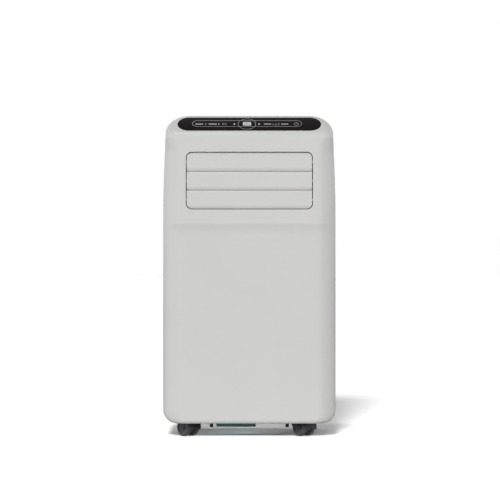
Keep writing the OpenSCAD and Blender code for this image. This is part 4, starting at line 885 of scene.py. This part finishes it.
# filters: a frame, its ribs and a woven net
netting = {"in": 0.007, "deep": 0.005, "band": 0.005, "corner": 0.006, "ribPitch": 0.028,
           "rib": 0.0016, "ribFrom": 0.001, "ribTo": 0.003, "margin": 0.008, "held": 0.004,
           "netAt": 0.0019, "netPitch": 0.0026, "thread": 0.0004, "edge": 0.0005}
filterFront = grilleFront - netting["deep"]


def barSize(axis, thick, deep, long):
    return (thick, deep, long) if axis == 0 else (long, deep, thick)


for which, size in intakes.items():
    wide, tall, centre = size[0] - 2 * netting["in"], size[1] - 2 * netting["in"], size[2]
    outer = intakeOutline(size, -netting["in"], netting["corner"])
    inner = intakeOutline(size, -netting["in"] - netting["band"], netting["corner"] / 2)
    parts = [collarRing("filter_rim", outer, inner, filterFront, grilleFront, upright,
                        netting["edge"])]
    spans = {0: wide - 2 * netting["held"], 2: tall - 2 * netting["held"]}
    pitch, thread = netting["ribPitch"], netting["thread"]
    finish = finishOf[slotOfNode[which + "_filter"]]
    ribY = filterFront + (netting["ribFrom"] + netting["ribTo"]) / 2
    ribDeep = netting["ribTo"] - netting["ribFrom"]
    for axis, span in ((0, wide), (2, tall)):
        count = 2 * (int((span / 2 - netting["margin"] - pitch / 2) / pitch) + 1)
        parts.append(bars("filter_ribs", finish, count, pitch, (0, ribY, centre),
                          barSize(axis, netting["rib"], ribDeep, spans[2 - axis]), axis))
    for axis, lift in ((0, 0), (2, thread / 2)):
        parts.append(bars(
            "net_threads", finish, int(spans[axis] / netting["netPitch"]), netting["netPitch"],
            (0, filterFront + netting["netAt"] + lift, centre),
            barSize(axis, thread, thread, spans[2 - axis]), axis))
    settle(joined(which + "_filter_net", parts), which + "_filter")
print("filters")

# wheels that spin: a plate, a hub, a shaft and a ring of blades, and the fans' front ring
# plate: thickness, edge, steps; hub: radius, length, edge, steps; shaft: radius, reach, steps
fan = {"kind": "_fan_wheel", "long": 0.046, "plate": (0.0025, 0.0006, 72),
       "hub": (0.009, 0.022, 0.0006, 48), "shaft": (0.004, 0.026, 48), "ring": 0.011,
       "blades": 24, "root": 0.0104, "chord": 0.011, "thick": 0.0014, "short": 0.004,
       "bow": -28.0, "turn": -24}
rotors = {
    "evaporator": {**fan, "centre": (0.0, 0.39275), "back": 0.0245, "radius": 0.054},
    "condenser": {**fan, "centre": (-0.060, 0.150), "back": 0.0535, "radius": 0.064},
    "slinger": {"kind": "_vane_wheel", "centre": (0.062, 0.053), "back": 0.104, "radius": 0.012,
                "long": 0.008, "plate": (0.002, 0.0004, 40), "hub": (0.007, 0.008, 0.0006, 32),
                "shaft": (0.002, 0.024, 20), "ring": 0, "blades": 8, "root": 0.007,
                "chord": 0.013, "thick": 0.002, "short": 0.0004, "bow": 0.0, "turn": 0.0},
}
shaftShort = 0.001  # how far the shaft ends short of the hub
for which, wheel in rotors.items():
    spot, back, radius = wheel["centre"], wheel["back"], wheel["radius"]
    front = back + wheel["long"]
    plate, plateEdge, plateSteps = wheel["plate"]
    hub, hubLong, hubEdge, hubSteps = wheel["hub"]
    shaft, shaftBack, shaftSteps = wheel["shaft"]
    parts = [disc("wheel_plate", spot, radius, back, back + plate, plateEdge, plateSteps),
             disc("wheel_hub", spot, hub, back, back + hubLong, hubEdge, hubSteps),
             disc("wheel_shaft", spot, shaft, back - shaftBack, back + hubLong - shaftShort, 0.0,
                  shaftSteps)]
    if wheel["ring"]:
        parts.append(collarRing(
            "wheel_ring", circleOutline(radius, plateSteps, spot),
            circleOutline(radius - wheel["ring"], plateSteps, spot), front - plate, front,
            upright, plateEdge))
    parts.append(grown("wheel_blades", finishOf[slotOfNode[which + "_wheel"]], bladeRing, {
        "Count": wheel["blades"], "Centre": (spot[0], back + wheel["long"] / 2, spot[1]),
        "Size": (wheel["chord"], wheel["long"] - wheel["short"], wheel["thick"]),
        "Root": radius - wheel["root"], "Bow": wheel["bow"], "Turn": radians(wheel["turn"])}))
    settle(joined(which + wheel["kind"], parts), which + "_wheel")
print("fan wheels and slinger")

# heat exchangers: fins at a fine pitch, end sheets, and a tube that winds through them
coils = {
    "evaporator": {"x": (-0.124, 0.124), "y": 0.090, "z": (0.328, 0.528), "feet": (0.0, 0.0)},
    "condenser": {"x": (-0.150, 0.040), "y": 0.106, "z": (0.066, 0.184), "feet": (0.006, 0.036)},
}
coilBuild = {"deep": 0.028, "finPitch": 0.002, "fin": 0.0003, "finShort": 0.0004, "sheet": 0.002,
             "pitch": 0.025, "radius": 0.004, "bendShort": 0.00002, "rounding": 0.0001}
pitch, sheet = coilBuild["pitch"], coilBuild["sheet"]
for which, coil in coils.items():
    (x0, x1), y0, (z0, z1) = coil["x"], coil["y"], coil["z"]
    y1, middle = y0 + coilBuild["deep"], y0 + coilBuild["deep"] / 2
    parts = [bars("coil_fins", finishOf["fins"], int((x1 - x0) / coilBuild["finPitch"]),
                  coilBuild["finPitch"], ((x0 + x1) / 2, middle, (z0 + z1) / 2),
                  (coilBuild["fin"], coilBuild["deep"] - coilBuild["finShort"], z1 - z0))]
    for a, b, foot in ((x0 - sheet, x0, coil["feet"][0]), (x1, x1 + sheet, coil["feet"][1])):
        parts.append(brick("end_sheet", a, b, y0, y1, z0 - foot, z1))
    settle(joined(which + "_fins", parts), which + "_coil")
    rows = int((z1 - z0) / pitch + coilBuild["rounding"])
    reach = sheet + pitch / 2
    path = [(x1 + sheet, middle, z0 + pitch / 2)]
    for k in range(rows - 1):
        x = x0 - reach if k % 2 == 0 else x1 + reach
        path += [(x, middle, z0 + (k + 0.5) * pitch), (x, middle, z0 + (k + 1.5) * pitch)]
    path.append((x1 + sheet if rows % 2 == 0 else x0 - sheet, middle, z0 + (rows - 0.5) * pitch))
    run = grown("coil_tube", finishOf["copper"], tubeRun, {
        "Radius": coilBuild["radius"], "Bend": pitch / 2 - coilBuild["bendShort"]}, path)
    settle(joined(which + "_tubes", [run], outward=True), which + "_coil", finishOf["copper"],
           smoothing["soft"], False)
print("heat exchangers")

# what keeps its solid's shape and only has its sharp edges broken, by these widths
softEdges = {
    "base_pan": 0.0008, "sump_tray": 0.001, "exhaust_collar": 0.0008, "upper_plug": 0.0007,
    "lower_plug": 0.0007, "cord_gland": 0.0006, "cover_screws": 0.0002, "base_bolts": 0.0003,
    **{"vane_%d" % n: 0.0003 for n in (1, 2, 3, 4, 5)},
    "louvre_link": 0.0003, "vane_link": 0.0003, "louvre_motor": 0.0008, "control_box": 0.0006,
    "drain_deck": 0.0006, "slinger_motor": 0.0006,
    **{"caster_%d" % n: 0.0006 for n in (1, 2, 3, 4)},
    **{"wheel_%d%s" % (n, s): 0.0005 for n in (1, 2, 3, 4) for s in "ab"},
}
softening = {"merge": 0.00002, "level": 0.6, "segments": 2, "sharpFrom": 28}
ownFinish = {"base_bolts": "blackSteel", "cover_screws": "blackSteel", "base_pan": "pan"}
for node, width in softEdges.items():
    bm = bmesh.new()
    bm.from_mesh(cadNodes[node].data)
    bmesh.ops.remove_doubles(bm, verts=bm.verts, dist=softening["merge"])
    bmesh.ops.dissolve_limit(bm, angle_limit=radians(softening["level"]), verts=bm.verts,
                             edges=bm.edges)
    soft = fromBmesh(node + "_soft", bm, outward=False)
    step = soft.modifiers.new("edges", "BEVEL")
    step.width = width
    step.segments = softening["segments"]
    step.limit_method = "ANGLE"
    step.angle_limit = radians(softening["sharpFrom"])
    bake(soft)
    settle(soft, node, finishOf[ownFinish.get(node, slotOfNode[node])], smoothing["soft"])
print("edges softened on", len(softEdges), "solids")

# the floor, the room's light and the lamps
stage = {"half": 40.0, "seen": 2.7, "felt": 0.85, "roomSeen": 1.0, "roomFill": 0.06}
half = stage["half"]
bm = bmesh.new()
bm.faces.new([bm.verts.new((*p, 0)) for p in corners(-half, half, -half, half)])
floor = fromBmesh("floor", bm, outward=False)


def clearedTree(owner):
    owner.use_nodes = True
    owner.node_tree.nodes.clear()
    return owner.node_tree


def twoWays(tree, choice, felt, seen, output):
    # rays that the choice picks out meet the seen shader, and all others the felt one
    either = addNode(tree, "ShaderNodeMixShader", [("Fac", choice), (1, felt), (2, seen)])
    addNode(tree, output, [("Surface", either)])


floorPaint = bpy.data.materials.new("floor_paint")
tree = clearedTree(floorPaint)
rays = addNode(tree, "ShaderNodeLightPath").outputs
felt, seen = [addNode(tree, "ShaderNodeBsdfDiffuse", [("Color", (stage[key],) * 3 + (1,))])
              for key in ("felt", "seen")]
twoWays(tree, rays["Is Camera Ray"], felt, seen, "ShaderNodeOutputMaterial")
floor.data.materials.append(floorPaint)

room = bpy.data.worlds.new("room")
scene.world = room
tree = clearedTree(room)
rays = addNode(tree, "ShaderNodeLightPath").outputs
fill, bright = [
    addNode(tree, "ShaderNodeBackground", [("Color", (1, 1, 1, 1)), ("Strength", stage[key])])
    for key in ("roomFill", "roomSeen")]
direct = maths(tree, "MAXIMUM", rays["Is Camera Ray"], rays["Is Glossy Ray"])
twoWays(tree, maths(tree, "MAXIMUM", direct, rays["Is Transmission Ray"]), fill, bright,
        "ShaderNodeOutputWorld")

# rise is a lamp's height above the floor and turn is sideways from straight ahead, in degrees
lampSetup = {
    "low": {"rise": 23, "turn": -4, "angle": 7, "power": 1.87},
    "left": {"rise": 5, "turn": -66, "angle": 9, "power": 1.35},
    "right": {"rise": 5, "turn": 66, "angle": 9, "power": 1.0},
    "behind": {"rise": 5, "turn": 165, "angle": 9, "power": 0.6},
    "strip": {"rise": 80, "turn": -26, "away": 2.2, "long": 0.36, "tall": 0.1, "power": 3.0},
}


def towards(look):
    rise, turn = radians(look["rise"]), radians(look["turn"])
    flat = cos(rise)
    return Vector((sin(turn) * flat, -cos(turn) * flat, sin(rise)))


def faced(back):
    # turned so that its back points along the vector and its long side lies nearly across
    side = (Vector((1, 0, 0)) - back * back.x).normalized()
    return Matrix((side, back.cross(side), back)).transposed().to_euler()


for name, look in lampSetup.items():
    strip = "away" in look
    data = bpy.data.lights.new(name + "_lamp", "AREA" if strip else "SUN")
    data.energy = look["power"]
    lamp = linkObject(name + "_lamp", data)
    lamp.rotation_euler = faced(towards(look))
    lamp.visible_glossy = strip  # only the strip draws a line of light along the edges
    if strip:
        data.shape = "RECTANGLE"
        data.size, data.size_y = look["long"], look["tall"]
        lamp.location = Vector((0, frontCrest, crestZ)) + towards(look) * look["away"]
    else:
        data.angle = radians(look["angle"])

print("scene ready")
